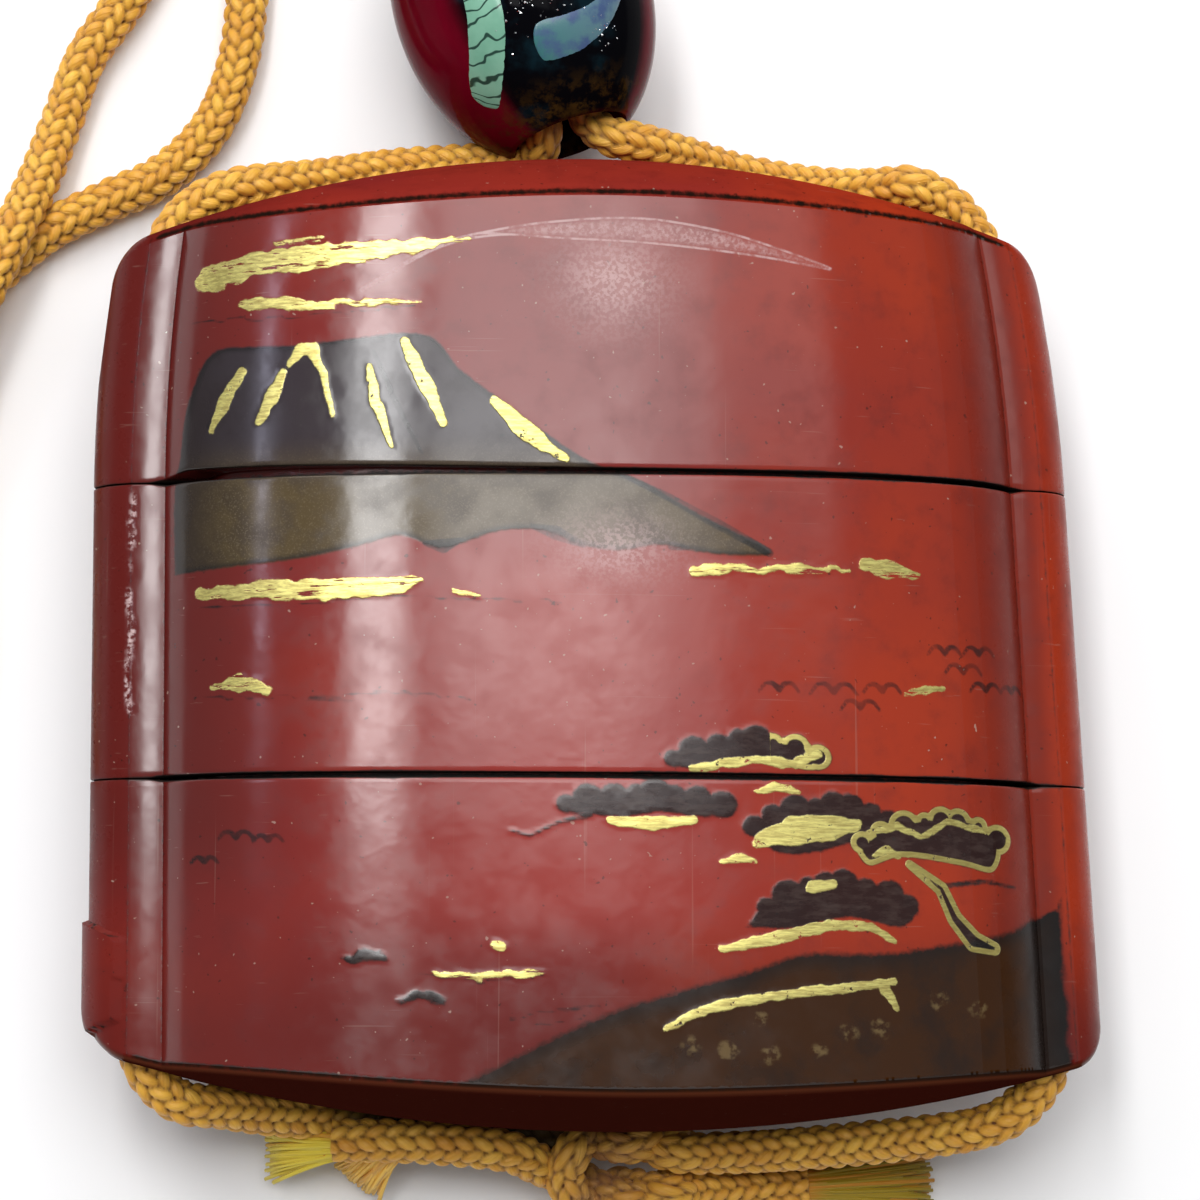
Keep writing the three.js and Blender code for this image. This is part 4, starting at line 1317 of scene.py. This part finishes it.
def lacquer(name, specular, smooth_at, dull_at):
    m = Shader(name, IOR=1.5, Specular_IOR_Level=specular)
    cloud = m.noise(0.45, 5, 0.62)
    fine = m.noise(3.0, 3)
    ragged = m.math("SUBTRACT", m.noise(2.2, 4, 0.65), 0.5)

    def inside(name, rough, soft):
        return m.between(m.plus(m.value(name), m.times(ragged, rough)), soft, -soft)

    stone = inside("stone", 0.2, 0.12)
    hill = inside("hill", 0.5, 0.22)
    black = m.most(inside("black", 0.3, 0.1), inside("lined", 0.05, 0.05))
    faint = m.times(inside("faint", 0.1, 0.06), m.between(m.noise(0.7, 3), 0.36, 0.62, 0.5, 0.95))
    torn = m.between(m.noise(1.0, 5, 0.7, (0.4, 3.4, 1.0)), 0.38, 0.44)
    bar = m.times(inside("gold", 0.3, 0.05), torn)
    rubbed_gold = m.between(m.noise(1.6, 5, 0.7), 0.33, 0.40)
    outline = m.between(m.math("ABSOLUTE", m.plus(m.value("lined"), 0.16)), 0.19, 0.11)
    leaf = m.times(m.most(inside("leaf", 0.2, 0.05), outline), rubbed_gold)
    gold = m.most(bar, leaf)
    pale = m.times(inside("pale", 0.5, 0.15), m.between(m.noise(1.6, 4), 0.42, 0.6, 0.0, 0.7))
    rim = m.between(m.math("ABSOLUTE", m.value("stone")), 0.45, 0.0, 0.0, 0.8)

    gold_colour = m.mix(m.between(m.noise(2.5, 4, 0.7, (0.3, 2.5, 1.0)), 0.35, 0.65), GOLD_DULL, GOLD_BRIGHT)
    gold_colour = m.mix(m.times(outline, 0.6), gold_colour, GOLD_DULL)
    colour = m.mix(m.times(stone, 0.95), red_ground(m, cloud), stone_ground(m, cloud))
    colour = m.mix(m.times(rim, stone), colour, BLACK)
    colour = m.mix(hill, colour, hill_ground(m))
    colour = m.mix(m.times(pale, hill), colour, HILL_DUST)
    colour = m.mix(m.times(faint, 0.85), colour, BLACK)
    # the scuff is real scraping; the glow at two places is a painted highlight
    pale_share = pale_rub_and_glow(m)
    colour = m.mix(pale_share, colour, RUBBED_AND_GLOW)
    brushed = m.between(m.noise(1.2, 4, 0.65, (0.6, 2.0, 1.0)), 0.42, 0.7)
    colour = m.mix(m.times(black, 0.95), colour, m.mix(brushed, BLACK, BRUSHED_GREY))
    colour = m.mix(gold, colour, gold_colour)
    # painted shade on the bottom end
    colour = m.mix(m.times(m.value("underside_shade"), 0.9), colour, RED_UNDERSIDE_SHADE)
    # dirt and abraded lacquer at seams, ends and arrises, with painted shade in the creases and at the closed
    # seams
    wear_and_shade = m.between(m.plus(m.value("wear_and_shade"), m.times(ragged, 0.7)), 0.35, 0.75)
    colour = m.mix(wear_and_shade, colour, DIRT_AND_SHADE)
    # painted highlight: a lighter line along the bottom end's rim
    colour = m.mix(m.times(m.value("rim_highlight"), 0.6), colour, RED_RIM_HIGHLIGHT)
    colour = m.mix(m.value("chip"), colour, m.mix(m.between(fine, 0.42, 0.6), RED_DARK, RUBBED_AND_GLOW))

    rough = m.blend(m.between(cloud, 0.35, 0.75), smooth_at, dull_at)
    rough = m.blend(gold, rough, 0.38)
    rough = m.blend(pale_share, rough, 0.45)
    rough = m.blend(wear_and_shade, rough, 0.55)
    relief = m.plus(m.times(gold, 0.3), m.times(black, 0.2))
    relief = m.plus(relief, m.times(stone, 0.15))
    relief = m.plus(relief, m.times(m.noise(0.35, 3), 0.6))
    relief = m.plus(relief, m.times(m.times(gold, fine), 0.4))
    return m.finish(Base_Color=colour, Metallic=m.times(gold, 0.8), Roughness=rough,
                    Normal=m.bump(relief, 0.035, 0.8))


SILK_LIGHT = (0.94, 0.56, 0.075)
SILK_DEEP = (0.62, 0.235, 0.018)
SILK_CREVICE_SHADE = (0.13, 0.036, 0.003)
SILK_SOILED = (0.26, 0.115, 0.055)
SILK_SHADE_UNDER_CASE = (0.055, 0.038, 0.010)
SILK_FRAY_YELLOW = (0.78, 0.62, 0.06)
SILK_FRAY_OLIVE = (0.36, 0.25, 0.012)


def silk():
    sheen = (1.0, 0.55, 0.32, 1.0)
    m = Shader("silk_braid", IOR=1.45, Sheen_Weight=0.35, Sheen_Roughness=0.4, Sheen_Tint=sheen)
    place = m.vector(m.value("across"), m.value("along"), m.value("lobe"))
    fibre = m.noise(1.0, 2, 0.6, (5.0, 0.7, 1.0), place)
    lobe = m.plus(m.times(m.value("lobe"), 0.55), m.times(m.noise(0.25, 3), 0.55))
    colour = m.mix(lobe, SILK_DEEP, SILK_LIGHT)
    colour = m.mix(m.between(fibre, 0.4, 0.7, 0.0, 0.35), colour, SILK_DEEP)
    # painted shade in the crevices between the grains
    colour = m.mix(m.between(m.value("crown"), 0.2, 0.85), SILK_CREVICE_SHADE, colour)
    soil = m.times(m.value("soil"), m.between(m.noise(0.8, 4), 0.3, 0.65, 0.45, 1.0))
    colour = m.mix(soil, colour, SILK_SOILED)
    # painted shade on the stretch beneath the case and inside the runners
    colour = m.mix(m.times(m.value("shade_under_case"), 0.9), colour, SILK_SHADE_UNDER_CASE)
    return m.finish(Base_Color=colour, Roughness=m.blend(fibre, 0.34, 0.55), Normal=m.bump(fibre, 0.12, 0.8))


def loose_silk(name, tip_colour):
    m = Shader(name, IOR=1.45, Sheen_Weight=0.3, Sheen_Roughness=0.4, Sheen_Tint=(1.0, 0.8, 0.4, 1.0))
    colour = m.mix(m.between(m.value("tip"), 0.05, 0.4), SILK_DEEP, tip_colour)
    colour = m.mix(m.between(m.value("lobe"), 0.7, 1.0, 0.0, 0.8), colour, SILK_DEEP)
    return m.finish(Base_Color=colour, Roughness=m.blend(m.noise(1.5, 2), 0.3, 0.5))


def crimson_glass():
    m = Shader("bead_crimson_glass", IOR=1.5, Specular_IOR_Level=0.015)
    body = m.mix(m.noise(0.4, 3), (0.085, 0.001, 0.006), (0.15, 0.002, 0.012))
    smoke = m.mix(m.between(m.noise(0.35, 4), 0.5, 0.72), (0.002, 0.002, 0.003), (0.004, 0.014, 0.020))
    # painted light: crimson where light would pass the glass's edges, black panels as painted shade of the
    # core seen through it
    body = m.mix(m.value("core_shade"), body, smoke)
    dirt = m.times(m.value("dirt"), m.between(m.noise(1.0, 5, 0.7), 0.45, 0.62, 0.0, 0.75))
    body = m.mix(dirt, body, m.mix(m.noise(1.5, 3), (0.012, 0.006, 0.002), (0.09, 0.045, 0.008)))
    return m.finish(Base_Color=body, Roughness=m.between(m.noise(0.6, 3), 0.3, 0.8, 0.05, 0.12))


def striped_glass():
    m = Shader("bead_mint_glass", IOR=1.5, Roughness=0.25)
    wave = m.plus(m.times(m.value("along"), 60.0), m.times(m.noise(0.45, 2), 16.0))
    line = m.between(m.math("SINE", m.plus(wave, m.times(m.value("across"), 2.5))), 0.75, 0.95)
    mint = m.mix(m.noise(0.5, 3), (0.10, 0.30, 0.20), (0.26, 0.52, 0.38))
    return m.finish(Base_Color=m.mix(line, mint, (0.012, 0.05, 0.035)))


def teal_glass():
    m = Shader("bead_teal_glass", IOR=1.5, Roughness=0.25)
    shade = m.mix(m.value("along"), (0.03, 0.16, 0.15), (0.12, 0.20, 0.26))
    return m.finish(Base_Color=m.mix(m.between(m.noise(0.9, 4), 0.4, 0.7), shade, (0.05, 0.09, 0.20)))


def mauve_glass():
    m = Shader("bead_mauve_glass", IOR=1.5, Roughness=0.25)
    return m.finish(Base_Color=m.mix(m.noise(0.8, 3), (0.13, 0.02, 0.05), (0.26, 0.12, 0.17)))


def silver_flake():
    m = Shader("bead_silver", Metallic=1.0, Roughness=0.25)
    return m.finish(Base_Color=m.mix(m.noise(2.0, 2), (0.75, 0.8, 0.85), (0.9, 0.9, 0.88)))


def pale_floor():
    m = Shader("floor", Roughness=0.9)
    return m.finish(Base_Color=m.mix(m.noise(0.02, 2), (0.92, 0.92, 0.925), (0.94, 0.94, 0.94)))


# Scene

def add_camera():
    data = bpy.data.cameras.new("camera")
    data.lens = CAMERA_LENS
    data.sensor_width = SENSOR
    data.clip_start = 0.01
    camera = bpy.data.objects.new("camera", data)
    camera.location = (CAMERA_PLACE + CASE_ORIGIN) * MM
    camera.rotation_euler = [math.radians(turn) for turn in CAMERA_TURN]
    bpy.context.collection.objects.link(camera)
    bpy.context.scene.camera = camera


def softbox(name, lean_x, lean_y, distance, size, power, colour=(1, 1, 1)):
    """A soft light over the case, leaned by degrees from straight above it."""
    data = bpy.data.lights.new(name, "AREA")
    data.shape = "RECTANGLE"
    data.size, data.size_y = size
    data.energy = power
    data.color = colour
    lamp = bpy.data.objects.new(name, data)
    way = Vector((math.tan(math.radians(lean_x)), math.tan(math.radians(lean_y)), 1.0)).normalized()
    lamp.location = way * distance
    up = (Vector((0, 1, 0)) - way * way.y).normalized()
    lamp.rotation_euler = Matrix((up.cross(way), up, way)).transposed().to_euler()
    bpy.context.collection.objects.link(lamp)


def add_light():
    world = bpy.data.worlds.new("soft_surround")
    bpy.context.scene.world = world
    world.use_nodes = True
    world.node_tree.nodes["Background"].inputs["Color"].default_value = (0.28, 0.28, 0.285, 1.0)
    softbox("strip", -18.7, 20.9, 0.62, (0.095, 0.42), 1.75)
    softbox("thin_strip", -45.0, 17.0, 0.70, (0.037, 0.20), 0.18, (0.8, 0.8, 1.0))
    softbox("overhead", -0.5, 14.2, 0.70, (0.225, 0.275), 0.43)
    softbox("overhead_wide", 2.5, 14.2, 0.70, (0.345, 0.275), 0.66)
    softbox("overhead_low", 1.0, 5.6, 0.70, (0.22, 0.075), 0.11)
    softbox("side_fill", 20.0, 20.0, 0.75, (0.34, 0.30), 0.45)
    softbox("behind", -10.0, 50.0, 0.80, (0.70, 0.35), 2.4)


def add_floor():
    size = 1.5
    corners = [(-size, -size, 0), (size, -size, 0), (size, size, 0), (-size, size, 0)]
    floor = make_object("floor", corners, [(0, 1, 2, 3)], smooth=False)
    floor.data.materials.append(pale_floor())


def settle(piece, slot, *nodes):
    """Every piece moves with the one body and may stand for CAD nodes. The slot is not used."""
    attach(piece, "root")
    if nodes:
        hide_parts(*nodes)


def add_cords():
    braid = silk()
    left_fibres = loose_silk("silk_fibres_left", SILK_FRAY_YELLOW)
    right_fibres = loose_silk("silk_fibres_right", SILK_FRAY_OLIVE)
    tuft_fibres = loose_silk("silk_fibres_tuft", SILK_LIGHT)
    tuft = fray_piece("cord_left_tuft", TUFT_ROUTE, tuft_fibres, **LEFT_TUFT)
    settle(tuft, "silk_cord")
    loop_route = [*through_bead(-1, -3, 9), *LOOP_ROUTE, *through_bead(1, 9, -3)]
    loop, loop_line = braid_piece("cord_loop_braid", loop_route, braid)
    settle(loop, "silk_cord", "cord_loop")
    left = [*through_bead(-1, -4.5, -8.6), *LEFT_UPPER_ROUTE, *LEFT_INNER_ROUTE, *LEFT_LOWER_ROUTE]
    right = [*through_bead(1, -4.5, -8.6), *RIGHT_UPPER_ROUTE, *RIGHT_INNER_ROUTE, *RIGHT_LOWER_ROUTE]
    sides = (
        ("left", 1, left_fibres, left, LEFT_TAIL_ROUTE, LEFT_FRAY),
        ("right", -1, right_fibres, right, RIGHT_TAIL_ROUTE, RIGHT_FRAY),
    )
    for side, mirror, fibres, route, tail, fray in sides:
        cord, line = braid_piece(f"cord_{side}_braid", [*route, *knot_route(mirror), *tail], braid)
        nodes = [f"cord_{side}_{part}" for part in ("upper", "inner", "lower", "tail")]
        settle(cord, "silk_cord", *nodes, *(["cord_knot"] if side == "left" else []))
        brush = fray_piece(f"cord_{side}_fray", tail, fibres, **fray)
        settle(brush, "silk_cord")


def add_case():
    outline = case_outline()
    finishes = [
        lacquer("lacquer", 0.5, 0.13, 0.24),
        lacquer("lacquer_ends", 0.0, 0.5, 0.7),
        lacquer("lacquer_sides", 0.12, 0.25, 0.4),
        lacquer("lacquer_turn", 0.3, 0.17, 0.28),
    ]
    for node, piece in (("lid", lid_piece(outline)), ("upper_case", upper_case_piece(outline)),
                        ("lower_case", lower_case_piece(outline))):
        dress_tier(piece, finishes)
        settle(piece, "lacquer", node)


def add_bead():
    glass = lathe_piece("bead_glass", glass_profile(), 96, crimson_glass())
    dress_glass(glass)
    settle(glass, "bead_glass", "ojime_bead")
    glasses = (striped_glass, teal_glass, mauve_glass, striped_glass, teal_glass)
    trails = zip(BEAD_TRAILS.items(), glasses)
    inlays = [inlay_piece(name, *trail, glass()) for (name, trail), glass in trails]
    flecks = fleck_piece("bead_flecks", FLECK_CLOUDS, silver_flake(), 8)
    for piece in [*inlays, flecks]:
        settle(piece, "bead_glass")


bpy.context.scene.view_settings.view_transform = "Standard"
add_camera()
add_cords()
add_case()
add_bead()
add_floor()
add_light()
